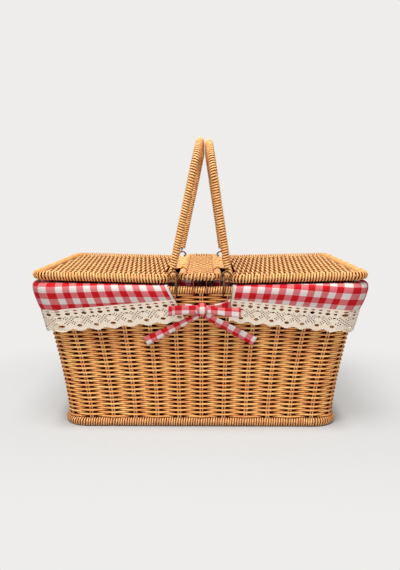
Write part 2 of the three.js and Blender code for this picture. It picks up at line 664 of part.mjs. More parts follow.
function makeSkirts() {
  const chamfer = Math.tan(Math.PI / 8);
  const over = (flat, { bulge, puff }) => [
    [-flat, RIM_HEIGHT],
    [-flat, RIM_HEIGHT + flat * chamfer],
    [-flat * chamfer, RIM_HEIGHT + flat + puff],
    [flat * chamfer + bulge / 2, RIM_HEIGHT + flat + puff],
    [flat + bulge, RIM_HEIGHT + flat / 2],
    [flat + bulge, RIM_HEIGHT],
  ];
  const lines = skirtLines();
  const section = (line, pairs) => pairs.map(([out, height]) => standAt(line, out, height));
  const cloth = lines.map((line) => {
    const half = (RIM_HEIGHT + line.hem) / 2;
    const halfOut = (foldInside + line.bulge + line.hemOut) / 2 + SKIRT_SLACK;
    return section(line, [
      ...over(foldOutside, line),
      [halfOut + CLOTH, half],
      [line.hemOut + CLOTH, line.hem],
      [line.hemOut, line.hem],
      [halfOut, half],
      ...over(foldInside, line).reverse(),
    ]);
  });
  const lace = lines.map((line) => {
    const top = line.hem - GAP;
    const bottom = top - LACE_DROP;
    return section(line, [
      [line.hemOut + CLOTH, top],
      [line.hemOut + CLOTH, bottom],
      [line.hemOut, bottom],
      [line.hemOut, top],
    ]);
  });
  for (const [side, sign] of [['left', -1], ['right', 1]]) {
    const turned = (sections) => sections.map((points) => (
      points.map((point) => new THREE.Vector3(sign * point.x, sign * point.y, point.z))
    ));
    place(basket, `skirt_${side}`, loft(turned(cloth)), gingham);
    place(basket, `lace_${side}`, loft(turned(lace)), laceCotton);
  }
}

// A bow at the middle of the front, and its twin at the back: a knot, two loops and two tails, tied from
// the straps that come off the inner edges of the skirts

function ribbonLoft(stations) {
  return loft(stations.map(({ x, y, z, acrossX, acrossZ, width }) => {
    const corner = (side, back) => {
      const height = z + (side * acrossZ * width) / 2;
      return new THREE.Vector3(x + (side * acrossX * width) / 2, y(height) + back * CLOTH, height);
    };
    return [corner(1, 0), corner(-1, 0), corner(-1, -1), corner(1, -1)];
  }));
}

function makeBow(end, turn) {
  const bow = new THREE.Group();
  bow.rotation.z = turn;
  bow.position.x = BOW_SHIFT * Math.cos(turn);
  basket.add(bow);
  const knotTop = knotHeight + KNOT_TALL / 2;
  const knotBack = frontFace(knotTop) - GAP;
  const corner = KNOT_WIDTH / 3;
  const chamfer = corner / 2;
  const knot = new THREE.ExtrudeGeometry(roundedRect(KNOT_WIDTH / 2, KNOT_TALL / 2, corner), {
    depth: KNOT_DEPTH - 2 * chamfer,
    bevelThickness: chamfer,
    bevelSize: chamfer,
    bevelOffset: -chamfer,
    bevelSegments: 2,
    curveSegments: 2,
  });
  knot.rotateX(Math.PI / 2).translate(0, knotBack - chamfer, knotHeight);
  place(bow, `${end}_bow_knot`, knot, gingham);
  const laceFront = -(wallMiddle(knotTop).y + hangOut + CLOTH);
  const knotSide = KNOT_WIDTH / 2 + GAP;
  const strapBack = knotBack - GAP;
  const loopRoot = CLOTH + GAP;
  const halves = [['left', -1, BOW_LOOP_LEFT, edgeLeft], ['right', 1, BOW_LOOP_RIGHT, edgeRight]];
  for (const [side, sign, loopLength, edge] of halves) {
    const root = new THREE.Vector2(sign * (knotSide + loopRoot), knotBack - KNOT_DEPTH / 2);
    const tip = new THREE.Vector2(sign * (knotSide + loopLength), laceFront - BOW_STAND_OFF - BOW_LOOP_ROUND);
    const outline = belt(root, loopRoot, tip, BOW_LOOP_ROUND);
    outline.holes.push(belt(root, loopRoot - CLOTH, tip, BOW_LOOP_ROUND - CLOTH));
    const options = { depth: RIBBON, bevelEnabled: false, curveSegments: RIBBON_STEPS };
    const loop = new THREE.ExtrudeGeometry(outline, options).translate(0, 0, knotHeight - RIBBON / 2);
    place(bow, `${end}_bow_${side}_loop`, loop, gingham);

    const strapX = sign * (edgeAt(edge, hemInner - RIBBON) - GAP) - BOW_SHIFT;
    const strapStart = { x: strapX, z: hemInner - RIBBON / 2, depth: laceFront + CLOTH };
    const strapEnd = { x: sign * knotSide, z: knotHeight, depth: strapBack };
    const strap = [0, 0.3, 0.7, 1].map((share) => {
      const ease = share * (2 - share);
      const depth = THREE.MathUtils.lerp(strapStart.depth, strapEnd.depth, ease);
      return {
        x: THREE.MathUtils.lerp(strapStart.x, strapEnd.x, share),
        y: () => depth,
        z: THREE.MathUtils.lerp(strapStart.z, strapEnd.z, ease),
        acrossX: 0,
        acrossZ: 1,
        width: THREE.MathUtils.lerp(RIBBON, KNOT_TALL / 2, share),
      };
    });
    place(bow, `${end}_bow_${side}_strap`, ribbonLoft(strap), gingham);

    const tailStart = new THREE.Vector2(sign * knotSide, knotHeight - KNOT_TALL / 2);
    const tailEnd = new THREE.Vector2(sign * TAIL_REACH, knotHeight - TAIL_DROP);
    const tailWay = tailEnd.clone().sub(tailStart).normalize();
    const tail = [0, 0.25, 0.5, 0.75, 1].map((share) => {
      const at = tailStart.clone().lerp(tailEnd, share);
      return {
        x: at.x,
        y: (height) => frontFace(height) - GAP,
        z: at.y,
        acrossX: -sign * Math.abs(tailWay.y),
        acrossZ: Math.abs(tailWay.x),
        width: THREE.MathUtils.lerp(KNOT_TALL / 2, RIBBON, Math.min(1, 2 * share)),
      };
    });
    place(bow, `${end}_bow_${side}_tail`, ribbonLoft(tail), gingham);
  }
}

makeBase();
makeWall();
makeRim();
makeStrip();
makeTies();
makeHingeBands();
makeLids();
makeHandles();
makeRings();
makeLining();
makeSkirts();
makeBow('front', 0);
makeBow('back', Math.PI);

export default basket;
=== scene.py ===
# %% [markdown]
# # A picnic basket in woven cane
# The construction is already there as plain solids: a flared wall, wrapped rods, lids on hinges, hoop
# handles and a cloth lining. This lesson dresses them. Cane is laid strand by strand, cloth is cut and hung,
# and lace is cut out of a flat curve. Every new piece stands where its solid stands and rides on the same
# body, so the lids still open and the handles still fold.

# %% Load the frame
import itertools
import json
import math

import bmesh
import bpy
import numpy as np
from mathutils import Matrix, Vector, noise
from mathutils.kdtree import KDTree


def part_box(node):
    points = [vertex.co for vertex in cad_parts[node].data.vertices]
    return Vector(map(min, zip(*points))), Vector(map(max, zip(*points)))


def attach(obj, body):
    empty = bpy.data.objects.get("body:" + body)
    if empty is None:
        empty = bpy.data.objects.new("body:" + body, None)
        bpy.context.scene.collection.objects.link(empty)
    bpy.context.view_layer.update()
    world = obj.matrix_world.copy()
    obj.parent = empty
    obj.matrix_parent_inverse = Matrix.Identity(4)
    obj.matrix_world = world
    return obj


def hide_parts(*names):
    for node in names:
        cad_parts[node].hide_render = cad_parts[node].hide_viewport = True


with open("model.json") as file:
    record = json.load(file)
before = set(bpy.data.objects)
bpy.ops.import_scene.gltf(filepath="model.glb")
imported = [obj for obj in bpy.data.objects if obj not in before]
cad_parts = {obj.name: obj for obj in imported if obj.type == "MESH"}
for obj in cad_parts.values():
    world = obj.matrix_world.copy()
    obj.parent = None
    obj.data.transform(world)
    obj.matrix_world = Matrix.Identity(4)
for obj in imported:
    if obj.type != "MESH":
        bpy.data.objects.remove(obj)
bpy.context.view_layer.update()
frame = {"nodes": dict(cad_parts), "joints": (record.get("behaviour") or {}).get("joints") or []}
scene = bpy.context.scene
scene.view_settings.view_transform = "Standard"
joints = {joint["name"]: joint for joint in frame["joints"]}
MM = 0.001
SIDES = (("left", -1), ("right", 1))
ENDS = (("front", -1), ("back", 1))

# %% [markdown]
# ## Small helpers
# Blender keeps what a thing is made of, its data, apart from the object that stands in the scene. Two
# helpers do what most steps need: put data into the scene, and turn an edited mesh into data. Two more keep
# a number between limits and go from one number to another.

# %% Helpers for objects, meshes and numbers
def add_object(name, data):
    """An object of the scene, at the origin, that shows this data."""
    made = bpy.data.objects.new(name, data)
    scene.collection.objects.link(made)
    return made


def mesh_from(name, edited):
    """A mesh with the faces of an edited one, which is then let go."""
    mesh = bpy.data.meshes.new(name)
    edited.to_mesh(mesh)
    edited.free()
    return mesh


def clamp(value, low=0, high=1):
    return min(max(value, low), high)


def blend(first, second, share):
    """First at a share of 0, second at a share of 1."""
    return first + (second - first) * share


print("helpers: 4")

# %% [markdown]
# ## The camera
# A camera is known once we know where it stands, which way it looks and how long its lens is. Blender fits
# the sensor's width to the longer side of the picture, so a focal length counted in pixels becomes
# millimetres by a simple ratio with the picture's height.

# %% Place the camera
PICTURE_HEIGHT = 570
FOCAL_PIXELS = 636
SENSOR = 36
CAMERA_PLACE = (6.7 * MM, -849 * MM, 273.5 * MM)
CAMERA_DOWN = 0.1332
CAMERA_TURN = 0.0092

lens = bpy.data.cameras.new("camera")
lens.sensor_width = SENSOR
lens.lens = SENSOR * FOCAL_PIXELS / PICTURE_HEIGHT
camera = add_object("camera", lens)
camera.location = CAMERA_PLACE
camera.rotation_euler = (math.pi / 2 - CAMERA_DOWN, 0, CAMERA_TURN)
scene.camera = camera
print("camera: lens", round(lens.lens, 2), "mm")

# %% [markdown]
# ## Materials as expressions
# A shader is a graph of nodes, but its maths reads better as Python. This small class holds one socket. An
# operator between two of them, or between one and a number, adds a Math node. The method named node adds any
# other kind: first its settings, then its sockets.

# %% A socket that can be calculated with
class Value:
    """A shader socket that adds nodes when it is used in an expression."""

    def __init__(self, tree, socket=None):
        self.tree = tree
        self.socket = socket

    def node(self, kind, settings=None, inputs=None, output=0):
        """Adds a node with these settings and sockets, and returns one of its outputs."""
        made = self.tree.nodes.new(kind)
        for name, setting in (settings or {}).items():
            setattr(made, name, setting)
        self.fill(made.inputs, inputs or {})
        return Value(self.tree, made.outputs[output])

    def fill(self, sockets, values):
        """Links values to sockets, or writes plain numbers and colours on them."""
        for name, value in values.items():
            if isinstance(value, Value):
                self.tree.links.new(value.socket, sockets[name])
            else:
                sockets[name].default_value = value

    def calculate(self, operation, first, second=0.0):
        return self.node("ShaderNodeMath", {"operation": operation}, {0: first, 1: second})

    def __add__(self, other):
        return self.calculate("ADD", self, other)

    def __sub__(self, other):
        return self.calculate("SUBTRACT", self, other)

    def __rsub__(self, other):
        return self.calculate("SUBTRACT", other, self)

    def __mul__(self, other):
        return self.calculate("MULTIPLY", self, other)

    def fraction(self):
        return self.calculate("FRACT", self)

    def size(self):
        return self.calculate("ABSOLUTE", self)

    def between(self, low, high):
        """0 below low, 1 above high, and a smooth step from one to the other."""
        inputs = {"Value": self, "From Min": low, "From Max": high}
        return self.node("ShaderNodeMapRange", {"interpolation_type": "SMOOTHSTEP"}, inputs)

    def mix(self, first, second):
        """A colour that goes from the first to the second as this value goes from 0 to 1."""
        inputs = {0: self, 6: first, 7: second}
        return self.node("ShaderNodeMix", {"data_type": "RGBA"}, inputs, 2)

    def ramp(self, *stops):
        """The colour of a ramp at this value. A new ramp has its first two stops already."""
        made = self.tree.nodes.new("ShaderNodeValToRGB")
        self.fill(made.inputs, {"Fac": self})
        elements = made.color_ramp.elements
        for index, (place, shade) in enumerate(stops):
            stop = elements[index] if index < 2 else elements.new(place)
            stop.position = place
            stop.color = shade
        return Value(self.tree, made.outputs[0])

    def vector(self, operation, first, second=(0, 0, 0), output=0):
        return self.node("ShaderNodeVectorMath", {"operation": operation}, {0: first, 1: second}, output)

    def noise(self, place, rate, detail):
        """Noise with its own rate of change per metre along each of three axes."""
        stretched = self.vector("MULTIPLY", place, rate)
        return self.node("ShaderNodeTexNoise", {}, {"Vector": stretched, "Scale": 1.0, "Detail": detail})

    def bump(self, height, strength, distance):
        inputs = {"Height": height, "Strength": strength, "Distance": distance}
        return self.node("ShaderNodeBump", {}, inputs)


print("shader maths: ready")


# %% Colours and new materials
def colour(red, green, blue):
    """A colour as it looks on a screen, 0 to 255, turned into the light values that shaders use."""
    def light(shade):
        share = shade / 255
        return share / 12.92 if share <= 0.04045 else ((share + 0.055) / 1.055) ** 2.4

    return (light(red), light(green), light(blue), 1.0)


def start_material(name):
    material = bpy.data.materials.new(name)
    material.use_nodes = True
    shader = material.node_tree.nodes["Principled BSDF"]
    return material, shader, Value(material.node_tree)


print("materials: ready to write")

# %% [markdown]
# ## Floor and light
# The basket stands on a pale floor that fades into an equally pale surround, so no horizon shows. Close to
# the basket the floor is a plain matt surface and takes its shadow. A little further out it is half the
# surround's own colour, and then all of it, but only for what the eye sees: Light Path tells a camera,
# glossy or transmission ray from the light that reaches the basket. A soft lamp high above the front gives
# the strands bright tops and dark undersides. A weaker one straight ahead reaches in under the lids, and the
# surround fills the shadows.

# %% Floor, lamps and surround
PAPER = colour(238, 237, 235)
FLOOR_MATT = colour(192, 193, 193)
FLOOR_HALF = 4.0
FLOOR_UNDER = (0.16, 0.1, 1.0)
FLOOR_CONTACT = 0.03
FLOOR_FADE = 0.3
FLOOR_LIFT = 0.5
SURROUND_LIGHT = 0.42
LAMP_AIM = Vector((0, 0, 0.12))


def add_floor():
    material, shader, start = start_material("floor_paper")
    place = start.node("ShaderNodeTexCoord", output="Object")
    past = start.vector("SUBTRACT", start.vector("ABSOLUTE", place), FLOOR_UNDER)
    distance = start.vector("LENGTH", start.vector("MAXIMUM", past), output="Value")
    seen = start.node("ShaderNodeLightPath", output="Is Camera Ray")
    seen = seen + start.node("ShaderNodeLightPath", output="Is Glossy Ray")
    seen = seen + start.node("ShaderNodeLightPath", output="Is Transmission Ray")
    lift = distance.between(0.0, FLOOR_CONTACT) * FLOOR_LIFT
    far = (distance.between(0.0, FLOOR_FADE) * (1 - FLOOR_LIFT) + lift) * seen
    start.fill(shader.inputs, {"Base Color": FLOOR_MATT, "Roughness": 0.9, "Specular IOR Level": 0.0})
    matt = Value(start.tree, shader.outputs[0])
    glow = start.node("ShaderNodeEmission", {}, {"Color": PAPER, "Strength": 1.0})
    both = start.node("ShaderNodeMixShader", {}, {0: far, 1: matt, 2: glow})
    start.fill(start.tree.nodes["Material Output"].inputs, {"Surface": both})
    sheet = bmesh.new()
    bmesh.ops.create_grid(sheet, x_segments=1, y_segments=1, size=FLOOR_HALF)
    floor = add_object("floor", mesh_from("floor", sheet))
    floor.data.materials.append(material)


def add_surround():
    """Paper all round: as pale as it is for the camera, and weaker as a light."""
    world = bpy.data.worlds.new("surround")
    world.use_nodes = True
    scene.world = world
    start = Value(world.node_tree)
    seen = start.node("ShaderNodeLightPath", output="Is Camera Ray")
    level = seen.between(0.0, 1.0) * (1.0 - SURROUND_LIGHT) + SURROUND_LIGHT
    start.fill(world.node_tree.nodes["Background"].inputs, {"Color": PAPER, "Strength": level})


def add_lamp(name, place, size, power):
    lamp = bpy.data.lights.new(name, "AREA")
    lamp.size = size
    lamp.energy = power
    holder = add_object(name, lamp)
    holder.location = place
    holder.rotation_euler = (LAMP_AIM - Vector(place)).to_track_quat("-Z", "Y").to_euler()


add_floor()
add_surround()
add_lamp("key", (-0.15, -0.6, 1.5), size=0.7, power=28)
add_lamp("fill", (0.1, -1.7, 0.4), size=1.0, power=5)
print("stage: floor, surround and two lamps")

# %% [markdown]
# ## Cane
# Cane is the core of a climbing palm, drawn into round strands, dyed honey brown and lacquered. No two
# lengths have the same tone, and the tone drifts slowly along a strand but jumps from one strand to the
# next. Noise does that when its space is stretched: slow along the strand, fast across it. The crests of the
# strands get a painted highlight. The hollows between strands get painted shade, which an attribute named
# depth carries: brown halfway down, and almost black at the bottom of the weave. A metal reflects in its own
# colour, so calling the painted black metallic also paints the gloss out of the hollows.

# %% The cane finish
# A painted highlight for the crests of the strands.
CANE_PAINTED_HIGHLIGHT = colour(255, 226, 176)
CANE_PALE = colour(252, 194, 108)
CANE_HONEY = colour(236, 148, 62)
CANE_BROWN = colour(200, 98, 26)
# Painted shade for the hollows of the weave: brown, and almost black at the bottom.
CANE_PAINTED_SHADE = colour(112, 34, 0)
CANE_PAINTED_BLACK = colour(20, 5, 1)
CANE_SHINE = colour(255, 214, 160)
PAINTED_HIGHLIGHT_SHARE = 0.5
CREST_DEPTH = 0.3
CREST_RISE = 0.8
BROWN_DEPTH = 0.6
TONE_SPREAD = 1.5
STRAND_SPREAD = 0.2
TONE_BASE = 0.35
CANE_ROUGH = 0.28
FIBRE_ROUGH = 0.25
HOLLOW_ROUGH = 0.4
CANE_GLOSS = 0.14


def cane_finish(name, tone_rate, fibre_rate, pale=0.0, upright=0.0):
    """Lacquered cane. The rates are changes of tone and of fibre per metre along X, Y and Z; upright is 1
    for level strands in an upright wall, whose painted highlight is kept to the side that faces out."""
    material, shader, start = start_material(name)
    place = start.node("ShaderNodeTexCoord", output="Object")
    facing = start.node("ShaderNodeTexCoord", output="Normal")
    island = start.node("ShaderNodeNewGeometry", output="Random Per Island")
    depth = start.node("ShaderNodeAttribute", {"attribute_name": "depth"}, output="Fac")
    tone = start.noise(place, tone_rate, detail=3.0) * TONE_SPREAD
    tone = tone + island * STRAND_SPREAD + (pale - TONE_BASE)
    skin = tone.ramp((0.15, CANE_BROWN), (0.5, CANE_HONEY), (0.85, CANE_PALE))
    fibre = start.noise(place, fibre_rate, detail=2.0)
    rise = start.node("ShaderNodeSeparateXYZ", {}, {0: facing}, 2).size()
    # Painted highlight: the crests are painted pale, less with depth, and in an upright wall less on tops
    # and undersides.
    painted_highlight_mask = 1.0 - depth.between(0.0, CREST_DEPTH) - rise.between(0.0, CREST_RISE) * upright
    tone_mix = (painted_highlight_mask * PAINTED_HIGHLIGHT_SHARE).mix(skin, CANE_PAINTED_HIGHLIGHT)
    # Painted shade: brown by depth, then almost black at the bottom, where Metallic also takes the gloss
    # away.
    painted_shade = depth.between(0.0, BROWN_DEPTH).mix(tone_mix, CANE_PAINTED_SHADE)
    painted_black_mask = depth.between(BROWN_DEPTH, 1.0)
    start.fill(shader.inputs, {
        "Base Color": painted_black_mask.mix(painted_shade, CANE_PAINTED_BLACK),
        "Metallic": painted_black_mask,
        "Roughness": fibre * FIBRE_ROUGH + depth * HOLLOW_ROUGH + CANE_ROUGH,
        "Normal": start.bump(fibre, strength=0.25, distance=0.15 * MM),
        "Specular IOR Level": CANE_GLOSS,
        "Specular Tint": CANE_SHINE,
    })
    return material


level_cane = cane_finish("level_cane", (28, 28, 330), (90, 90, 2400), pale=0.06, upright=1.0)
lid_cane = cane_finish("lid_cane", (330, 28, 60), (2400, 90, 2400), pale=0.24)
strip_cane = cane_finish("strip_cane", (60, 330, 60), (90, 2400, 2400), pale=0.05)
wound_cane = cane_finish("wound_cane", (210, 210, 210), (1100, 1100, 1100), pale=-0.02)
print("cane finishes:", 4)

# %% [markdown]
# ## Laying strands
# A strand is a curve with a round bevel, which is Blender's own way of sweeping a circle along a path. Many
# strands go into one curve object, which is then turned into a mesh, so a whole woven wall is one piece.
# Six sides are enough for a strand of three millimetres, because smooth shading rounds it.

# %% Strands and finished pieces
STRAND_SIDES_EXTRA = 1


def curve_mesh(name, paths, closed, settings):
    """A mesh made from a curve with these settings and a line through each path's points; a point's fourth
    number scales the thickness there."""
    curve = bpy.data.curves.new(name, "CURVE")
    for setting, value in settings.items():
        setattr(curve, setting, value)
    for path in paths:
        spline = curve.splines.new("POLY")
        spline.points.add(len(path) - 1)
        spline.points.foreach_set("co", [number for point in path for number in (*point[:3], 1.0)])
        spline.points.foreach_set("radius", [point[3] if len(point) > 3 else 1.0 for point in path])
        spline.use_cyclic_u = closed
    holder = bpy.data.objects.new(name, curve)
    mesh = bpy.data.meshes.new_from_object(holder)
    bpy.data.objects.remove(holder)
    bpy.data.curves.remove(curve)
    return mesh


def lay_strands(name, paths, thickness, closed=False, resolution=STRAND_SIDES_EXTRA):
    """One mesh of round strands, one along each path."""
    bevel = {"bevel_depth": thickness / 2, "bevel_resolution": resolution, "use_fill_caps": True}
    return add_object(name, curve_mesh(name, paths, closed, {"dimensions": "3D", **bevel}))


def settle(piece, material, body, slot, *nodes):
    """Gives a piece its finish, sets it on its body and lets it stand for its solids."""
    piece.data.materials.clear()
    piece.data.materials.append(material)
    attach(piece, body)
    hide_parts(*nodes)
    print(piece.name, len(piece.data.polygons), "faces")
    return piece


def mark(piece, name, share_of):
    """Writes an attribute from 0 to 1, from a function of all the piece's points."""
    count = len(piece.data.vertices)
    points = np.empty(3 * count)
    piece.data.vertices.foreach_get("co", points)
    share = np.clip(share_of(points.reshape(count, 3)), 0, 1)
    attribute = piece.data.attributes.new(name, "FLOAT", "POINT")
    attribute.data.foreach_set("value", share.astype(np.float32))


print("strands:", 4 + 2 * STRAND_SIDES_EXTRA, "sides each")

# %% [markdown]
# ## Rounded loops
# Base, rim, strip and lids are all rounded rectangles seen from above. This class walks round one: give it a
# length along the loop and it answers with the point there and the way out. The wall's weavers, the wound
# borders and the cloth all use it.

# %% A rounded loop to walk round
class RoundLoop:
    """A level rounded rectangle, walked from the middle of its front towards +X."""

    def __init__(self, half_x, half_y, corner, height=0.0, shift=0.0):
        self.middle = Vector((shift, 0, height))
        self.half = (half_y, half_x)
        self.corner = corner
        self.flat_x = half_x - corner
        self.flat_y = half_y - corner
        quarter = corner * math.pi / 2
        long_side = [quarter, 2 * self.flat_y, quarter, 2 * self.flat_x]
        self.stretches = [self.flat_x] + long_side + long_side[:3] + [self.flat_x]
        self.length = sum(self.stretches)

    def at(self, along):
        """The point at a length along the loop, and the way out of the loop there."""
        along %= self.length
        index = 0
        while index < len(self.stretches) - 1 and along > self.stretches[index]:
            along -= self.stretches[index]
            index += 1
        side, is_corner = divmod(index, 2)
        facing = (side - 1) * math.pi / 2
        if is_corner:
            turn = facing + along / self.corner
            out = Vector((math.cos(turn), math.sin(turn), 0))
            x_sign = 1 if side < 2 else -1
            y_sign = 1 if side in (1, 2) else -1
            turning = self.middle + Vector((x_sign * self.flat_x, y_sign * self.flat_y, 0))
            return turning + out * self.corner, out
        out = Vector((math.cos(facing), math.sin(facing), 0))
        ahead = Vector((-out.y, out.x, 0))
        before = {0: 0, 4: self.flat_x}.get(side, self.stretches[index] / 2)
        return self.middle + out * self.half[side % 2] + ahead * (along - before), out


print("loops: ready to walk round")

# %% [markdown]
# ## The woven wall
# The wall is plain weaving: level weavers pass in front of one pair of upright stakes and behind the next,
# and each row does the opposite of the row below. So a weaver is a level loop that swings out and in like a
# cosine, one half wave for each pair of stakes. A power of the cosine keeps it straighter between them, as
# stiff cane is, and it is a little thinner where it bends out than where it lies inside. The wall flares
# towards the rim, so the loop grows with its height.

# %% The wall's shape
BASE_ROD = 11 * MM
RIM_ROD = 9 * MM
BASE_CORNER = 31 * MM
RIM_CORNER = 26 * MM
WALL_CURVE = 1.45


def middle_line(node, rod, corner):
    """Half length, half depth and corner of the line through the middle of a ring of rod."""
    low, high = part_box(node)
    return ((high.x - low.x - rod) / 2, (high.y - low.y - rod) / 2, corner - rod / 2)


base_line = middle_line("base_border", BASE_ROD, BASE_CORNER)
rim_line = middle_line("rim_border", RIM_ROD, RIM_CORNER)
rim_height = (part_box("rim_border")[0].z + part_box("rim_border")[1].z) / 2
base_height = BASE_ROD / 2


def wall_line(height):
    """Half length, half depth and corner of the wall's middle line at a height."""
    rise = (height - base_height) / (rim_height - base_height)
    flare = clamp(rise) ** WALL_CURVE
    return [blend(low, high, flare) for low, high in zip(base_line, rim_line)]


print("wall:", round(rim_height / MM, 1), "mm to the middle of the rim")

# %% Weavers and stakes of the wall
WALL_STAKES = 38
WALL_STEPS = 6
WEAVER = 2.7 * MM
WEAVER_PRESSED = 0.14
STAKE = 2.3 * MM
STAKE_SPLIT = 1.4 * MM
WEAVER_SWING = 2.1 * MM
SWING_POWER = 1.6
ROW_PITCH = 2.66 * MM
ROW_WOBBLE = 0.35 * MM
WOBBLE_RATE = 30
WOBBLE_ROW = 5.3
STAKE_SHIFT = 1.5 * MM
STAKE_DEPTH = 0.08
STAKE_STEPS = 12
HOLLOW_START = 0.5 * MM
HOLLOW_FULL = -0.1 * MM


def row_heights():
    top = rim_height - RIM_ROD / 2 - WEAVER / 2
    bottom = BASE_ROD + WEAVER / 2
    return np.linspace(bottom, top, round((top - bottom) / ROW_PITCH) + 1)


def weaver_path(row, height):
    loop = RoundLoop(*wall_line(height))
    count = WALL_STAKES * WALL_STEPS
    path = []
    for step in range(count):
        share = step / count
        point, out = loop.at(share * loop.length + STAKE_SHIFT)
        wave = math.cos(math.pi * (WALL_STAKES * share + row))
        swing = math.copysign(abs(wave) ** SWING_POWER, wave)
        wobble = ROW_WOBBLE * noise.noise((WOBBLE_RATE * point.x, WOBBLE_RATE * point.y, WOBBLE_ROW * row))
        place = point + out * WEAVER_SWING * swing + Vector((0, 0, height + wobble))
        path.append((*place, 1 - WEAVER_PRESSED * swing))
    return path


def stake_path(stake, side):
    path = []
    for height in np.linspace(base_height, rim_height, STAKE_STEPS):
        loop = RoundLoop(*wall_line(height))
        along = loop.length * stake / WALL_STAKES + STAKE_SHIFT + side * STAKE_SPLIT
        path.append(loop.at(along)[0] + Vector((0, 0, height)))
    return path


def wall_depth(points):
    """How deep in the weave points lie, 0 on the outside of the wall and 1 in its hollows, where it paints
    shade.
    """
    lines = np.array([wall_line(height) for height in points[:, 2]])
    corner = lines[:, 2]
    past = np.abs(points[:, :2]) - lines[:, :2] + corner[:, None]
    outside = np.linalg.norm(np.maximum(past, 0), axis=1)
    distance = outside + np.minimum(past.max(axis=1), 0) - corner
    return (HOLLOW_START - distance) / (HOLLOW_START - HOLLOW_FULL)


weaver_paths = [weaver_path(row, height) for row, height in enumerate(row_heights())]
weavers = lay_strands("wall_weavers", weaver_paths, WEAVER, closed=True)
# The depth attribute paints shade into the wall's hollows.
mark(weavers, "depth", wall_depth)
settle(weavers, level_cane, "basket", "cane_weave", "wall_weave")
stake_paths = [stake_path(stake, side) for stake in range(WALL_STAKES) for side in (-1, 1)]
stakes = lay_strands("wall_stakes", stake_paths, STAKE)
# The stakes get at least a little painted shade, as they stand back in the weave.
mark(stakes, "depth", lambda points: np.maximum(wall_depth(points), STAKE_DEPTH))
settle(stakes, wound_cane, "basket", "cane_weave")

# %% [markdown]
# ## Wound borders
# The base, the rim, the strip and the lids are edged with a bent rod, wound closely with cane, turn beside
# turn. Such a winding is a helix round the rod's own line: the strand's place turns once for every few
# millimetres that it moves along. A closed ring takes a whole number of turns, so start and end meet. On the
# base the winding is broken into groups, where every second pair of stakes comes down past the rod. Where a
# hinge band will grip a rod, the winding leaves it bare.

# %% Winding a rod
WINDING = 2.8 * MM
WINDING_PITCH = 2.9 * MM
WINDING_STEPS = 8
WINDING_SLIP = 0.45 * MM
SLIP_LENGTH = 4 * WINDING_PITCH
SLIP_SEED = 90
WINDING_SHADE_RATE = 0.75
WINDING_CREST = 0.98
AXIS_STEP = 1 * MM
UP = Vector((0, 0, 1))


def winding(track, side, reach, pitch=WINDING_PITCH, hand=1, groups=1, gap=0.0):
    """The path of a strand wound round a track at a reach; side is square to the track and its way out."""
    turns = round(track.length / pitch / groups)
    path = []
    for step in range(groups * turns * WINDING_STEPS):
        group, part = divmod(step / WINDING_STEPS, turns)
        along = track.length * (group + gap / 2 + (1 - gap) * part / turns) / groups
        slip = WINDING_SLIP * noise.noise((along / SLIP_LENGTH, SLIP_SEED * reach / MM, 0.5))
        point, out = track.at(along + slip)
        turn = math.pi + 2 * math.pi * step / WINDING_STEPS
        path.append(point + reach * (math.cos(turn) * out + hand * math.sin(turn) * side))
    return path


def wound_stretches(path, bare):
    """The stretches of a closed path between those where the rod is left bare."""
    kept = []
    for index, point in enumerate(path):
        if bare(point):
            continue
        if index == 0 or bare(path[index - 1]):
            kept.append([])
        kept[-1].append(point)
    if len(kept) > 1 and not bare(path[0]) and not bare(path[-1]):
        kept[0] = kept.pop() + kept[0]
    return kept


def wind(name, body, node, track, side, rod, closed=True, place=Matrix(), strand=WINDING, bare=None,
         **options):
    """Cane wound round a rod, in place of a node, with painted shade in its hollows, from their nearness to
    the rod's line."""
    reach = (rod - strand) / 2
    path = winding(track, side, reach, **options)
    strands = wound_stretches(path, bare) if bare else [path]
    strands = [[place @ point for point in stretch] for stretch in strands]
    piece = lay_strands(name, strands, strand, closed and not bare)
    axis = [place @ track.at(along)[0] for along in np.arange(0, track.length, AXIS_STEP)]
    tree = KDTree(len(axis))
    for index, point in enumerate(axis):
        tree.insert(point, index)
    tree.balance()

    def depth(points):
        away = np.array([tree.find(point)[2] for point in points])
        height = (away - reach) / (strand / 2)
        return WINDING_SHADE_RATE * (WINDING_CREST - height)

    mark(piece, "depth", depth)
    settle(piece, wound_cane, body, "cane_wrap", node)


print("windings:", round(WINDING_PITCH / MM, 1), "mm from turn to turn")

# %% Wind the rods of base and rim
BASE_WINDING = 2.6 * MM
BASE_PITCH = 3.0 * MM
BASE_GROUPS = WALL_STAKES // 2
BASE_BREAK = 0.008

base_track = RoundLoop(*base_line, base_height)
rim_track = RoundLoop(*rim_line, rim_height)
wind("base_winding", "basket", "base_border", base_track, UP, BASE_ROD, strand=BASE_WINDING,
     pitch=BASE_PITCH, groups=BASE_GROUPS, gap=BASE_BREAK)
wind("rim_winding", "basket", "rim_border", rim_track, UP, RIM_ROD)

# %% [markdown]
# ## Woven panels
# The base, the strip and the lids are filled with the same plain weave as the wall, only flat. One function
# lays parallel strands that rise and dip over cross stakes; what differs is the way they run and how long
# each strand may be.

# %% A flat weave, and the base panel
PANEL = 4.6 * MM
PANEL_STRAND = 3.5 * MM
PANEL_STEPS = 5
PANEL_WOBBLE = 0.2 * MM
WOBBLE_ALONG = 40
WOBBLE_ACROSS = 400
PANEL_SHADE_RATE = 1.35
PANEL_CREST = 0.84


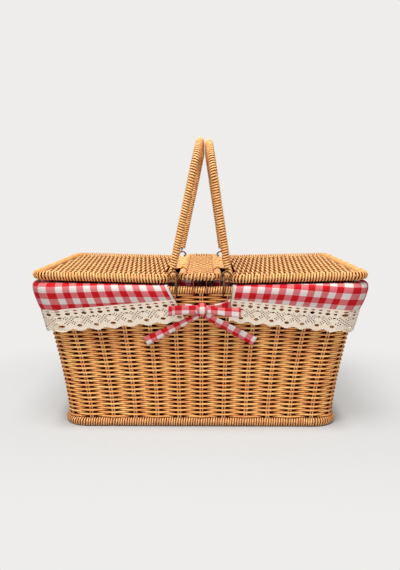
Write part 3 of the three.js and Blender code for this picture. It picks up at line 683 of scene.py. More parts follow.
def flat_strand(start, end, place, stake_pitch, order):
    """A strand from start to end along X, at a place in Y, that rises and dips over stakes across it."""
    lift = (PANEL - PANEL_STRAND) / 2
    count = max(2, round(PANEL_STEPS * (end - start) / stake_pitch))
    path = []
    for along in np.linspace(start, end, count + 1):
        wave = math.cos(math.pi * (along / stake_pitch + order))
        wobble = PANEL_WOBBLE * noise.noise((WOBBLE_ALONG * along, WOBBLE_ACROSS * place, 0.3))
        path.append(Vector((along, place + wobble, lift * wave)))
    return path


def inside_corner(half, corner, place, across_half):
    """How far a strand reaches at a place across a rounded panel."""
    past = max(0, abs(place) - across_half + corner)
    return half - corner + math.sqrt(max(corner ** 2 - past ** 2, 0))


def weave_panel(name, body, node, finish, paths, place):
    """A woven panel in place of a node: laid flat at height 0, painted shade marked in its hollows, and then
    moved.
    """
    piece = lay_strands(name, paths, PANEL_STRAND)
    mark(piece, "depth", lambda points: PANEL_SHADE_RATE * (PANEL_CREST - np.abs(points[:, 2]) / (PANEL / 2)))
    piece.data.transform(place)
    settle(piece, finish, body, "cane_weave", node)


BASE_STAKE_PITCH = 26 * MM
BASE_STRAND_PITCH = PANEL_STRAND * 1.1
base_half_x, base_half_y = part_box("base_panel")[1].x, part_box("base_panel")[1].y
base_rows = np.arange(-base_half_y + PANEL_STRAND / 2, base_half_y, BASE_STRAND_PITCH)
base_paths = []
for order, place in enumerate(base_rows):
    reach = inside_corner(base_half_x, BASE_CORNER - BASE_ROD, place, base_half_y)
    base_paths.append(flat_strand(-reach, reach, place, BASE_STAKE_PITCH, order))
weave_panel("base_weave", "basket", "base_panel", strip_cane, base_paths,
            Matrix.Translation(UP * base_height))

# %% [markdown]
# ## The middle strip
# A narrow woven strip bridges the basket from front to back and carries both lids. Its strands run across it
# in groups of four, and they stop short where the hinge bands go round its rod.

# %% Winding and weave of the strip
STRIP_ROD = 9.4 * MM
STRIP_CORNER = 13 * MM
STRIP_STAKE_PITCH = 4.4 * MM
STRIP_STRAND_PITCH = PANEL_STRAND * 0.8
STRIP_GROUP = 4
STRIP_WINDING = 3.2 * MM
STRIP_WINDING_PITCH = 3.9 * MM
HINGE_BAND_HALF = 76 * MM
BAND_ROOM = 0.6 * MM
BAND_STRAND = 2.4 * MM
BAND_PITCH = 3.0 * MM
BAND_SINK = 1.6 * MM
BAND_REACH = BAND_STRAND / 2 - BAND_SINK
BAND_LIFT = 0.6 * MM
BAND_STEP = 1.2 * MM
BAND_LEAST = 0.12
BAND_SHADE_RATE = 0.55
BAND_CREST = 0.9

strip_low, strip_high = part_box("strip_border")
strip_height = (strip_low.z + strip_high.z) / 2
strip_line = middle_line("strip_border", STRIP_ROD, STRIP_CORNER)
strip_track = RoundLoop(*strip_line, strip_height)


def strip_bare(point):
    """Whether a point lies where the hinge bands go straight onto the strip's rod."""
    return abs(point.x) > strip_line[0] - STRIP_ROD and abs(point.y) < HINGE_BAND_HALF + STRIP_WINDING / 2


wind("strip_winding", "basket", "strip_border", strip_track, UP, STRIP_ROD, strand=STRIP_WINDING,
     pitch=STRIP_WINDING_PITCH, bare=strip_bare)

strip_half_x, strip_half_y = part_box("strip_panel")[1].x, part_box("strip_panel")[1].y
short_reach = strip_line[0] - STRIP_ROD / 2 + BAND_SINK - BAND_STRAND
strip_paths = []
for order, place in enumerate(np.arange(-strip_half_y, strip_half_y, STRIP_STRAND_PITCH)):
    reach = short_reach if abs(place) < HINGE_BAND_HALF + BAND_ROOM else strip_half_x
    strip_paths.append(flat_strand(-reach, reach, place, STRIP_STAKE_PITCH, order // STRIP_GROUP))
weave_panel("strip_weave", "basket", "strip_panel", strip_cane, strip_paths,
            Matrix.Translation(UP * strip_height))

# %% [markdown]
# ## Loops round two rods
# Hinge bands, ties and rings are all the same idea: something wound round two rods at once, like a belt
# round two wheels. The hinge band is a long coil of cane, which rises and dips in groups like the strip's
# own weave. The tie is one turn of thin wire, and the ring is one turn of thick wire. A lid turns inside its
# band, which stays on the strip.

# %% Belts and places along a line
BELT_STEPS = 7


def belt(first, first_radius, second, second_radius):
    """Points of a belt round two wheels, in the plane of the wheels."""
    along = second - first
    facing = math.atan2(along.y, along.x)
    lean = math.acos((first_radius - second_radius) / along.length)
    wheels = ((first, first_radius, facing + lean, 2 * (math.pi - lean)),
              (second, second_radius, facing - lean, 2 * lean))
    points = []
    for middle, radius, start, sweep in wheels:
        for step in range(BELT_STEPS + 1):
            turn = start + sweep * step / BELT_STEPS
            points.append(middle + radius * Vector((math.cos(turn), math.sin(turn))))
    return points


def lengths_along(line):
    """The length along a line at each of its points."""
    return np.concatenate([[0], np.cumsum(np.linalg.norm(np.diff(line, axis=0), axis=1))])


def along_line(line, lengths, share):
    """The place at a share of a line's whole length."""
    return [np.interp(share * lengths[-1], lengths, line[:, axis]) for axis in range(line.shape[1])]


print("belts:", 2 * (BELT_STEPS + 1), "points each")

# %% Hinge bands
LID_ROD = 11 * MM
hinge_x = joints["lid_right_hinge"]["pos_m"][0]
hinge_height = joints["lid_right_hinge"]["pos_m"][2]


def band_path(sign):
    """A strand wound round strip and lid, that rises and dips as the strip's own weave does."""
    turns = round(2 * HINGE_BAND_HALF / BAND_PITCH)
    strip_rod = Vector((sign * strip_line[0], strip_height))
    lid_rod = Vector((sign * hinge_x, hinge_height))
    around = belt(strip_rod, STRIP_ROD / 2 + BAND_REACH, lid_rod, LID_ROD / 2 + BAND_REACH)
    line = np.array([*around, around[0]])
    lengths = lengths_along(line)
    steps = round(lengths[-1] / BAND_STEP)
    path = []
    for step in range(turns * steps):
        turn, part = divmod(step, steps)
        x, height = along_line(line, lengths, part / steps)
        wave = math.cos(math.pi * (x / STRIP_STAKE_PITCH + turn // STRIP_GROUP))
        up = math.copysign(1, height - strip_height)
        y = (HINGE_BAND_HALF - BAND_STRAND / 2) * (2 * step / (turns * steps) - 1)
        path.append(Vector((x, y, height + up * BAND_LIFT * wave)))
    return path


def band_depth(points):
    """Painted shade for the band's hollows, from how far points lie off the line between its two rods, on a
    band a little darker all over.
    """
    start = np.array((strip_line[0], strip_height))
    way = np.array((hinge_x, hinge_height)) - start
    flat = np.stack([np.abs(points[:, 0]), points[:, 2]], axis=1) - start
    share = np.clip(flat @ way / (way @ way), 0, 1)
    away = np.linalg.norm(flat - share[:, None] * way, axis=1)
    radius = blend(STRIP_ROD, LID_ROD, share) / 2 + BAND_REACH
    return BAND_LEAST + BAND_SHADE_RATE * (BAND_CREST - (away - radius) / (BAND_STRAND / 2))


for side, sign in SIDES:
    band = lay_strands(f"hinge_coil_{side}", [band_path(sign)], BAND_STRAND)
    mark(band, "depth", band_depth)
    settle(band, strip_cane, "basket", "cane_wrap", f"hinge_band_{side}")

# %% [markdown]
# ## Lids
# A lid is a wound frame with a woven panel, and its strands run from front to back. It is laid out flat
# beside its hinge line and then tilted a little, as it rests on the puffed cloth. Near the hinge the strands
# leave room for the band.

# %% Frames and weave of the lids
LID_CORNER = 22 * MM
LID_TILT = math.radians(1.5)
LID_STRAND_PITCH = 2.98 * MM
LID_WINDING_PITCH = 3.37 * MM
LID_STAKE_PITCH = 31 * MM
lid_half_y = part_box("lid_right_border")[1].y
lid_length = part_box("lid_right_border")[1].x - hinge_x + LID_ROD / 2
lid_middle = (lid_length - LID_ROD) / 2
lid_line = (lid_middle, lid_half_y - LID_ROD / 2, LID_CORNER - LID_ROD / 2)


def lid_strands():
    """Strands of a right lid laid flat, with its hinge line on the Y axis."""
    half_x = lid_middle - LID_ROD / 2
    half_y = lid_half_y - LID_ROD
    corner = LID_CORNER - LID_ROD
    notch = LID_ROD / 2 - BAND_SINK + BAND_STRAND + BAND_LIFT + BAND_ROOM + PANEL_STRAND / 2
    paths = []
    for order, place in enumerate(np.arange(-half_x + PANEL_STRAND / 2, half_x, LID_STRAND_PITCH)):
        reach = inside_corner(half_y, corner, place, half_x)
        stretches = [(-reach, reach)]
        if lid_middle + place < notch:
            stretches = [(-reach, -HINGE_BAND_HALF - BAND_ROOM), (HINGE_BAND_HALF + BAND_ROOM, reach)]
        for start, end in stretches:
            strand = flat_strand(start, end, place, LID_STAKE_PITCH, order)
            paths.append([Vector((lid_middle + point.y, point.x, point.z)) for point in strand])
    return paths


def lid_place(sign):
    """Where the flat right lid goes: on its hinge line, tilted, and mirrored for the left."""
    tilt = Matrix.Rotation(-LID_TILT, 4, "Y")
    flip = Matrix.Diagonal((sign, 1, 1, 1))
    return flip @ Matrix.Translation((hinge_x, 0, hinge_height)) @ tilt


def lid_bare(point):
    """Whether a point of the flat lid lies where the hinge band holds its rod."""
    return point.x < LID_ROD and abs(point.y) < HINGE_BAND_HALF + WINDING / 2


lid_track = RoundLoop(*lid_line, 0, lid_middle)
for side, sign in SIDES:
    place = lid_place(sign)
    body = f"lid_{side}"
    wind(f"{body}_winding", body, f"{body}_border", lid_track, UP, LID_ROD, place=place,
         pitch=LID_WINDING_PITCH, bare=lid_bare)
    weave_panel(f"{body}_weave", body, f"{body}_panel", lid_cane, lid_strands(), place)

# %% [markdown]
# ## Handles, rings and ties
# Each handle is one length of thick wire. It is bent into a hoop with an eye at either foot, and then wound
# with cane between the eyes. The eyes hang in rings of wire that go round the rim. Thin wire ties the strip
# to the rim.

# %% Metal finishes
WEAR_RATE = (260, 260, 260)
WEAR_EDGE = (0.35, 0.65)
WEAR_ROUGH = 0.3
WORN_SHADE = 0.55


def metal_finish(name, shade, roughness, metallic):
    material, shader, start = start_material(name)
    place = start.node("ShaderNodeTexCoord", output="Object")
    tone_mix = start.noise(place, WEAR_RATE, detail=4.0)
    dull = tuple(WORN_SHADE * part for part in shade[:3]) + (1.0,)
    start.fill(shader.inputs, {
        "Base Color": tone_mix.between(*WEAR_EDGE).mix(shade, dull),
        "Roughness": tone_mix * WEAR_ROUGH + roughness,
        "Metallic": metallic,
    })
    return material


bronze = metal_finish("bronze", colour(150, 104, 66), roughness=0.3, metallic=0.8)
tie_metal = metal_finish("tie_metal", colour(170, 106, 60), roughness=0.5, metallic=0.3)
print("metals:", bronze.name, tie_metal.name)

# %% A hoop to walk along
HANDLE_ROD = 9.5 * MM
HANDLE_REACH = 154 * MM
HANDLE_UNEVEN = 2.2 * MM
HANDLES_MEET = 5.1 * MM
HANDLES_APART = 4.9 * MM
HANDLE_SET = 2.5 * MM
HANDLE_CORNER = 45 * MM
HANDLE_WIRE = 2.3 * MM
EYE_RADIUS = 5.6 * MM
EYE_WIRE = 2.4 * MM
RING_WIRE = 2.0 * MM
EYE_PLAY = 0.35 * MM
WIRE_SIDES_EXTRA = 3
EYE_STEPS = 20
HOOP_STEPS = 90
WINDING_FOOT = EYE_RADIUS + 4.2 * MM
pivot = Vector(joints["handle_right_swing"]["pos_m"])
eye_x = pivot.x + EYE_RADIUS - (EYE_WIRE + RING_WIRE) / 2 - EYE_PLAY
handle_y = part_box("handle_right_wrap")[1].y - HANDLE_ROD / 2


class Hoop:
    """The upper half of an upright rounded loop: up a leg at -Y, over, and down the other leg."""

    def __init__(self, x, foot, top):
        self.loop = RoundLoop(handle_y, top - foot, HANDLE_CORNER)
        self.length = self.loop.length / 2
        self.upright = Matrix(((0, 0, 1), (-1, 0, 0), (0, 1, 0)))
        self.foot = Vector((x, 0, foot))

    def at(self, along):
        """The point at a length along the hoop, and the way out of the hoop there."""
        point, out = self.loop.at(self.length / 2 + clamp(along, 0, self.length))
        return self.foot + self.upright @ point, self.upright @ out


print("hoops:", round(2 * handle_y / MM), "mm from leg to leg")


# %% Bend and wind the handles
def handle_wire_path(x, top):
    """One wire: round the front eye, over the hoop and round the back eye."""
    foot = math.sqrt(EYE_RADIUS ** 2 - x ** 2)
    hoop = Hoop(x, foot, top)
    turns = [math.atan2(foot, x) + 2 * math.pi * step / EYE_STEPS for step in range(EYE_STEPS)]
    circle = [Vector((EYE_RADIUS * math.cos(turn), 0, EYE_RADIUS * math.sin(turn))) for turn in turns]
    front = [point - Vector((0, handle_y, 0)) for point in circle]
    back = [point + Vector((0, handle_y, 0)) for point in reversed(circle)]
    over = [hoop.at(along)[0] for along in np.linspace(0, hoop.length, HOOP_STEPS)]
    return front + over + back


def handle_place(sign, top):
    """Where an upright hoop goes: its eyes in their rings, leaning in until its top meets the other hoop."""
    inward = eye_x - sign * (HANDLES_MEET + sign * HANDLES_APART)
    lean = math.atan2(HANDLE_SET, top) + math.asin(inward / math.hypot(HANDLE_SET, top))
    return Matrix.Translation((sign * eye_x, 0, pivot.z)) @ Matrix.Rotation(-sign * lean, 4, "Y")


across_hoop = Vector((1, 0, 0))
for side, sign in SIDES:
    top = HANDLE_REACH - sign * HANDLE_UNEVEN
    place = handle_place(sign, top)
    hoop = Hoop(sign * HANDLE_SET, WINDING_FOOT, top)
    body = f"handle_{side}"
    wind(f"{body}_winding", body, f"{body}_wrap", hoop, across_hoop, HANDLE_ROD, closed=False, place=place,
         hand=sign)
    wire_path = [place @ point for point in handle_wire_path(sign * HANDLE_SET, top)]
    wire = lay_strands(f"{body}_wire", [wire_path], HANDLE_WIRE, resolution=WIRE_SIDES_EXTRA)
    settle(wire, bronze, body, "bronze_wire", f"{body}_core")

# %% Rings and ties
TIE_WIRE = 0.7 * MM
TIE_X = 7.5 * MM
RING_TOP_RADIUS = 5.2 * MM
WIRE_CLEARANCE = 0.6 * MM


def standing_loop(x, first, first_radius, second, second_radius):
    """A belt in the plane where x is constant, round two rods that run along X."""
    return [Vector((x, y, height)) for y, height in belt(first, first_radius, second, second_radius)]


ring_reach = RIM_ROD / 2 + WIRE_CLEARANCE + RING_WIRE / 2
tie_reach = TIE_WIRE / 2
for end, end_sign in ENDS:
    rim_rod = Vector((end_sign * rim_line[1], rim_height))
    strip_rod = Vector((end_sign * strip_line[1], strip_height))
    ring_top = Vector((end_sign * handle_y, pivot.z - RING_TOP_RADIUS))
    for side, sign in SIDES:
        loop = standing_loop(sign * pivot.x, rim_rod, ring_reach, ring_top, RING_TOP_RADIUS)
        ring = lay_strands(f"ring_{end}_{side}", [loop], RING_WIRE, closed=True, resolution=WIRE_SIDES_EXTRA)
        settle(ring, bronze, "basket", "bronze_wire", f"handle_ring_{end}_{side}")
        loop = standing_loop(sign * TIE_X, rim_rod, RIM_ROD / 2 + tie_reach,
                             strip_rod, STRIP_ROD / 2 + tie_reach)
        tie = lay_strands(f"tie_{end}_{side}", [loop], TIE_WIRE, closed=True, resolution=WIRE_SIDES_EXTRA)
        settle(tie, tie_metal, "basket", "tie_wire", f"strip_tie_{end}_{side}")

# %% [markdown]
# ## Gingham
# Gingham is a plain cloth with equal dyed and white bands in both directions. Where two dyed bands cross it
# is full red, where a dyed band crosses a white one it is half red, and the rest is white. So two band masks
# are added, and a colour ramp turns their sum into three tones. The masks read the cloth's own flat
# coordinates, in metres, so the checks bend with the cloth. Where an attribute named hem is high, the white
# back of the cloth is turned over its edge.

# %% The gingham finish
CHECK_WIDE = 16 * MM
CHECK_TALL = 14 * MM
BAND_EDGE = 0.02
HEM_SEAM = (0.48, 0.52)
CLOTH_WHITE = colour(218, 207, 202)
CLOTH_PINK = colour(208, 108, 112)
CLOTH_RED = colour(192, 12, 26)
THREAD_RATE = (2600, 2600, 1)


def gingham_finish():
    material, shader, start = start_material("gingham")
    flat = start.node("ShaderNodeUVMap", {"uv_map": "cloth"})
    wide = start.node("ShaderNodeSeparateXYZ", {}, {0: flat}, 0)
    tall = start.node("ShaderNodeSeparateXYZ", {}, {0: flat}, 1)

    def dyed(place, period):
        """1 on the dyed band in the middle of each period, 0 on the white one."""
        from_middle = ((place * (1 / period)).fraction() - 0.5).size()
        return 1.0 - from_middle.between(0.25 - BAND_EDGE, 0.25 + BAND_EDGE)

    hem = start.node("ShaderNodeAttribute", {"attribute_name": "hem"}, output="Fac")
    red = (dyed(wide, CHECK_WIDE) * 0.5 + dyed(tall, CHECK_TALL) * 0.5) * (1.0 - hem.between(*HEM_SEAM))
    threads = start.noise(flat, THREAD_RATE, detail=2.0)
    start.fill(shader.inputs, {
        "Base Color": red.ramp((0.0, CLOTH_WHITE), (0.5, CLOTH_PINK), (1.0, CLOTH_RED)),
        "Normal": start.bump(threads, strength=0.3, distance=0.2 * MM),
        "Roughness": 0.85,
        "Specular IOR Level": 0.2,
    })
    return material


gingham = gingham_finish()
print("gingham: checks of", round(CHECK_WIDE / MM / 2, 1), "mm")

# %% [markdown]
# ## Cutting cloth
# A piece of cloth starts as a flat grid. A Solidify modifier gives it its thickness. Lines with hard
# corners are eased first by cutting the corners off several times, as cloth never folds sharply.

# %% Sheets from flat grids
CLOTH = 0.9 * MM
EASE_PASSES = 3


def cut_sheet(name, columns, rows, hang, flat):
    """A cloth grid: hang gives a place in space and flat a place on the cloth, both from shares 0 to 1."""
    sheet = bmesh.new()
    cloth = sheet.loops.layers.uv.new("cloth")
    bmesh.ops.create_grid(sheet, x_segments=columns, y_segments=rows, size=0.5)
    for face in sheet.faces:
        face.smooth = True
        for corner in face.loops:
            corner[cloth].uv = flat(corner.vert.co.x + 0.5, corner.vert.co.y + 0.5)
    for vertex in sheet.verts:
        vertex.co = hang(vertex.co.x + 0.5, vertex.co.y + 0.5)
    bmesh.ops.recalc_face_normals(sheet, faces=sheet.faces)
    piece = add_object(name, mesh_from(name, sheet))
    thickness = piece.modifiers.new("thickness", "SOLIDIFY")
    thickness.thickness = CLOTH
    thickness.offset = 0
    return piece


def eased(points):
    """The same line with its corners rounded, and the length along it at each of its points."""
    line = np.array(points, dtype=float)
    for _ in range(EASE_PASSES):
        near = 0.75 * line[:-1] + 0.25 * line[1:]
        far = 0.25 * line[:-1] + 0.75 * line[1:]
        middle = np.stack([near, far], axis=1).reshape(-1, line.shape[1])
        line = np.vstack([line[:1], middle, line[-1:]])
    return line, lengths_along(line)


print("cloth:", round(CLOTH / MM, 1), "mm thick")

# %% [markdown]
# ## Skirts
# The top of the lining is turned over the rim and hangs outside as a skirt, one half round each end of the
# basket. In section the cloth comes up inside the rim, puffs over it under the lid, bulges and falls to the
# hem, and a narrow edge of it goes on behind the lace. The hem is lower towards the ends. Round the basket
# the section is moved along the wall's own outline, with soft folds. The skirt is worked out for the right
# half, from the front opening round to the back one; the left skirt is the same turned half round.

# %% Sizes of the skirts
EDGE_START = {"left": 34.5 * MM, "right": 37 * MM}
EDGE_LEAN = {"left": 0.5, "right": 0.1}
HEM_INNER = rim_height - 10.5 * MM
HEM_OUTER = rim_height - 24.5 * MM
HEM_FLARE = 1.8 * MM
FOLD_OUT = 5.5 * MM
HANG_OUT = 5.8 * MM
SKIRT_BULGE = 4 * MM
SKIRT_BULGE_INNER = 1 * MM
SKIRT_PUFF = 3 * MM
SKIRT_SLACK = 1.2 * MM
PUFF_RISE = 0.3 * MM
PUFF_OUT = 0.4 * MM
TURN_IN = 8 * MM
BEHIND_LACE = 4.5 * MM
BEHIND_STEP = 1.25 * MM
BEHIND_EASE = 0.3
HEM_TURNED = 3 * MM
FOLD_PITCH = 62 * MM
FOLD_DEPTH = 0.9 * MM
WRINKLE = 0.9 * MM
WRINKLE_RATES = (50, 30, 3)
HEM_HOLD = 3
SKIRT_COLUMNS = 180
SKIRT_ROWS = 26
CHECK_SLOPE = {"left": 0.069, "right": 0.118}
CHECK_LEAN = {"left": 0.0, "right": 0.095}
CHECK_STRETCH = {"left": 0.993, "right": 0.979}
CHECK_SHIFT = {"left": (3.4 * MM, 2.6 * MM), "right": (13.5 * MM, 1.6 * MM)}

rim_flat_x = rim_line[0] - rim_line[2]
rim_flat_y = rim_line[1] - rim_line[2]
skirt_corner = rim_line[2] * math.pi / 2
skirt_half = {name: rim_flat_x - start + skirt_corner + rim_flat_y for name, start in EDGE_START.items()}
skirt_length = skirt_half["right"] + skirt_half["left"]
print("skirts:", round(skirt_length / MM), "mm round")


# %% The shape of a skirt
def skirt_line(along):
    """The opening that a place along the skirt is nearer to, -1 or 1 for front or back, and how far off."""
    if along < skirt_half["right"]:
        return "right", -1, along
    return "left", 1, skirt_length - along


def skirt_point(along, out, height, sign):
    """A point of the skirt some way out from the middle of the wall."""
    opening, end, from_edge = skirt_line(along)
    half_x, half_y, corner = wall_line(height)
    edge = EDGE_START[opening] + EDGE_LEAN[opening] * (height - rim_height)
    straight = rim_flat_x - EDGE_START[opening]
    turn = clamp((from_edge - straight) / rim_line[2], 0, math.pi / 2)
    down_end = max(from_edge - straight - skirt_corner, 0) / rim_flat_y
    x = blend(edge, half_x - corner, min(from_edge / straight, 1)) + (corner + out) * math.sin(turn)
    y = end * ((half_y - corner) * (1 - down_end) + (corner + out) * math.cos(turn))
    return Vector((sign * x, sign * y, height))


def skirt_shape(along):
    """How far the hem stands out, and the bulge, hem height and puff of the skirt at a length along it."""
    opening, _, from_edge = skirt_line(along)
    fade = min(1, from_edge / FOLD_PITCH)
    fold = fade * (HEM_FLARE + FOLD_DEPTH * math.sin(2 * math.pi * along / FOLD_PITCH))
    bulge = blend(SKIRT_BULGE_INNER, SKIRT_BULGE, fade)
    start = EDGE_START[opening]
    outward = (skirt_point(along, 0, rim_height, 1).x - start) / (rim_line[0] - start)
    return fold, bulge, blend(HEM_INNER, HEM_OUTER, outward), SKIRT_PUFF * outward


def skirt_section(along):
    """The eased line of the cloth, from the bag inside the rim to the edge behind the lace."""
    fold, bulge, hem, puff = skirt_shape(along)
    top = rim_height + FOLD_OUT + puff
    half = (rim_height + hem) / 2
    hang = HANG_OUT + fold
    behind = hang - BEHIND_STEP
    return eased([
        (-FOLD_OUT, rim_height - TURN_IN),
        (-FOLD_OUT, rim_height),
        (-FOLD_OUT, top),
        (FOLD_OUT + bulge, top + PUFF_RISE),
        (FOLD_OUT + bulge + PUFF_OUT, rim_height),
        ((FOLD_OUT + bulge + hang) / 2 + SKIRT_SLACK, half),
        (hang, hem),
        (behind, hem - BEHIND_EASE * BEHIND_LACE),
        (behind, hem - BEHIND_LACE),
    ])


print("skirts: hem", round((rim_height - HEM_OUTER) / MM, 1), "mm below the rim at the ends")


# %% Hang the skirts
def hang_skirt(side, sign):
    sections = {}

    def section(share):
        column = round(share * SKIRT_COLUMNS)
        if column not in sections:
            sections[column] = skirt_section(skirt_length * column / SKIRT_COLUMNS)
        return sections[column]

    def hang(share, down):
        along = skirt_length * share
        out, height = along_line(*section(share), down)
        loose = clamp(out / FOLD_OUT) * min(1, HEM_HOLD * (1 - down))
        wrinkle = [rate * place for rate, place in zip(WRINKLE_RATES, (along, height, sign))]
        out += loose * WRINKLE * noise.noise(wrinkle)
        return skirt_point(along, out, height, sign)

    def flat(share, down):
        shift_wide, shift_tall = CHECK_SHIFT[side]
        from_front = skirt_length * (share if sign > 0 else 1 - share)
        from_edge = min(from_front, skirt_half[side] - rim_flat_y)
        fallen = down * section(share)[1][-1]
        wide = from_front * CHECK_STRETCH[side] + shift_wide + CHECK_LEAN[side] * fallen
        return wide, fallen + shift_tall - CHECK_SLOPE[side] * from_edge

    def hem(points):
        """1 on the inner edge in front, 0.5 at the seam of its turned-over hem."""
        edge = EDGE_START[side] + EDGE_LEAN[side] * (points[:, 2] - rim_height)
        from_edge = np.where(points[:, 1] < 0, np.abs(points[:, 0]) - edge, HEM_TURNED * 2)
        return 1 - from_edge / (2 * HEM_TURNED)

    skirt = cut_sheet(f"cloth_skirt_{side}", SKIRT_COLUMNS, SKIRT_ROWS, hang, flat)
    mark(skirt, "hem", hem)
    drop = float(np.mean([lengths[-1] for line, lengths in sections.values()]))
    return settle(skirt, gingham, "basket", "gingham_cloth", f"skirt_{side}"), drop


skirts = {side: hang_skirt(side, sign) for side, sign in SIDES}

# %% [markdown]
# ## Lace
# Cotton lace of this kind is worked in repeats. One repeat is drawn here as a flat curve: an outline with a
# scalloped edge, and the holes inside it, which Blender leaves open when it fills the curve. Some holes are
# almonds, and under the largest two ladders of small ones cross. The repeat is copied along the hem, and
# each point is then set where the skirt hangs.

# %% The lace finish
LACE_SHADE = colour(230, 208, 184)
LACE_LIGHT = colour(252, 242, 226)
LACE_RATE = (900, 900, 900)


def lace_finish():
    material, shader, start = start_material("lace")
    place = start.node("ShaderNodeTexCoord", output="Object")
    threads = start.noise(place, LACE_RATE, detail=3.0)
    start.fill(shader.inputs, {
        "Base Color": threads.mix(LACE_SHADE, LACE_LIGHT),
        "Normal": start.bump(threads, strength=0.6, distance=0.4 * MM),
        "Roughness": 0.9,
        "Specular IOR Level": 0.15,
    })
    return material


lace_cotton = lace_finish()
print("lace finish:", lace_cotton.name)

# %% Cut one repeat of the lace
LACE_REPEATS = 29
LACE_DROP = 27.5 * MM
LACE = 0.8 * MM
LACE_OUT = 5.9 * MM
SCALLOP = 2.6 * MM
SCALLOP_TEETH = 6
TOOTH = 0.35 * MM
TOP_STEPS = 4
EDGE_STEPS = 24
HOLE_POINTS = 10
# Almond holes: a quarter of the repeat, then the place down, the length and the height in millimetres.
ALMONDS = (
    (1, 2.6, 5.2, 1.7),
    (3, 2.6, 5.2, 1.7),
    (1, 6.1, 6.2, 3.6),
    (3, 6.0, 4.6, 2.6),
    (3, 10.6, 4.2, 1.9),
    (3, 20.8, 6.2, 3.6),
)
LADDER_QUARTER = 1
LADDER_CROSSING = 14.2 * MM
LADDER_STEP = (1.93 * MM, 1.5 * MM)
LADDER_RUNGS = (-2.5, -1.5, -0.5, 0.5, 1.5, 2.5)
LADDER_RAILS = (-0.5, 0.5)
RUNG_LENGTH = 1.4 * MM
RUNG_HEIGHT = 1.8 * MM
lace_width = skirt_length / LACE_REPEATS


def almond(x, down, length, height):
    """An almond-shaped hole with pointed ends."""
    points = []
    for step in range(HOLE_POINTS):
        turn = 2 * math.pi * step / HOLE_POINTS
        across = height / 2 * math.sin(turn) * abs(math.sin(turn)) ** 0.5
        points.append((x + length / 2 * math.cos(turn), -down - across, 0))
    return points


def lace_holes():
    """The holes of one repeat."""
    holes = []
    for quarter, *sizes in ALMONDS:
        holes.append(almond(lace_width * quarter / 4, *[size * MM for size in sizes]))
    falling = itertools.product(LADDER_RUNGS, LADDER_RAILS)
    rising = itertools.product(LADDER_RAILS, LADDER_RUNGS)
    for right, left in sorted({*falling, *rising}):
        x = lace_width * LADDER_QUARTER / 4 + LADDER_STEP[0] * (right + left)
        down = LADDER_CROSSING + LADDER_STEP[1] * (right - left)
        holes.append(almond(x % lace_width, down, RUNG_LENGTH, RUNG_HEIGHT))
    return holes


def lace_outline():
    """The edge of one repeat: straight on top and scalloped below."""
    outline = [(lace_width * step / TOP_STEPS, 0, 0) for step in range(TOP_STEPS + 1)]
    for step in range(EDGE_STEPS + 1):
        share = 1 - step / EDGE_STEPS
        wave = 0.5 + 0.5 * math.sin(2 * math.pi * share)
        tooth = TOOTH * math.sin(2 * math.pi * SCALLOP_TEETH * share)
        outline.append((lace_width * share, SCALLOP * wave - LACE_DROP - tooth, 0))
    return outline


def lace_repeat():
    """One repeat as a flat mesh: X along the hem and -Y down."""
    filled = {"dimensions": "2D", "fill_mode": "BOTH", "extrude": LACE / 2}
    return curve_mesh("lace_repeat", [lace_outline(), *lace_holes()], True, filled)


print("lace: a repeat of", round(lace_width / MM, 1), "mm with", len(lace_holes()), "holes")


# %% Hang the lace
def hang_lace(side, sign):
    repeat = lace_repeat()
    lace = bmesh.new()
    for number in range(LACE_REPEATS):
        known = set(lace.verts)
        lace.from_mesh(repeat)
        fresh = [vertex for vertex in lace.verts if vertex not in known]
        bmesh.ops.translate(lace, verts=fresh, vec=(number * lace_width, 0, 0))
    for vertex in lace.verts:
        along = clamp(vertex.co.x, 0, skirt_length)
        fold, _, hem, _ = skirt_shape(along)
        vertex.co = skirt_point(along, LACE_OUT + fold + vertex.co.z, hem + vertex.co.y, sign)
    bmesh.ops.recalc_face_normals(lace, faces=lace.faces)
    piece = add_object(f"lace_hem_{side}", mesh_from(f"lace_{side}", lace))
    return settle(piece, lace_cotton, "basket", "lace_cotton", f"lace_{side}")


for side, sign in SIDES:
    skirt, drop = skirts[side]
    lace = hang_lace(side, sign)
    print("skirt", side, "cut", round(skirt_length / MM), "by", round(drop / MM), "mm")

# %% [markdown]
# ## The lining
# Under the lids the same cloth lines the basket as a bag. Its side is one long strip that follows the wall
# inside and rounds into the floor, and its floor is a second piece, laid flat.

# %% Line the basket
LINING_GAP = 5.4 * MM
LINING_COLUMNS = 160
LINING_ROWS = 24
FLOOR_ROUND = 6 * MM
FLOOR_ROWS = 10
LINING_CUT = 10 * MM
LINING_SHIFT = 3.5 * MM
CUT_EASE = 6 * MM
UNDER_RIM = 0.6 * MM
OVER_BASE = 1.2 * MM
CORNER_LEAST = 2 * MM
lining_floor = base_height + PANEL / 2 + OVER_BASE


def lining_top(x):
    """The lining's upper edge, which is lower in the middle of front and back."""
    beside = clamp((abs(x) - EDGE_START["left"]) / CUT_EASE)
    return rim_height - LINING_CUT + beside * (LINING_CUT - UNDER_RIM)


def inner_line(height):
    """Half sizes and corner of the lining at a height."""
    rounding = max(0, lining_floor + FLOOR_ROUND - height)
    inset = LINING_GAP + FLOOR_ROUND - math.sqrt(max(FLOOR_ROUND ** 2 - rounding ** 2, 0))
    half_x, half_y, corner = wall_line(height)
    return half_x - inset, half_y - inset, max(corner - inset, CORNER_LEAST)


def lining_hang(share, down):
    top = lining_top(rim_track.at(share * rim_track.length)[0].x)
    height = blend(top, lining_floor, down)
    loop = RoundLoop(*inner_line(height), height)
    return loop.at(share * loop.length)[0]


def floor_hang(share, down):
    loop = RoundLoop(*inner_line(lining_floor), lining_floor)
    point = loop.at(share * loop.length)[0]
    return Vector((point.x * (1 - down), point.y * (1 - down), point.z))


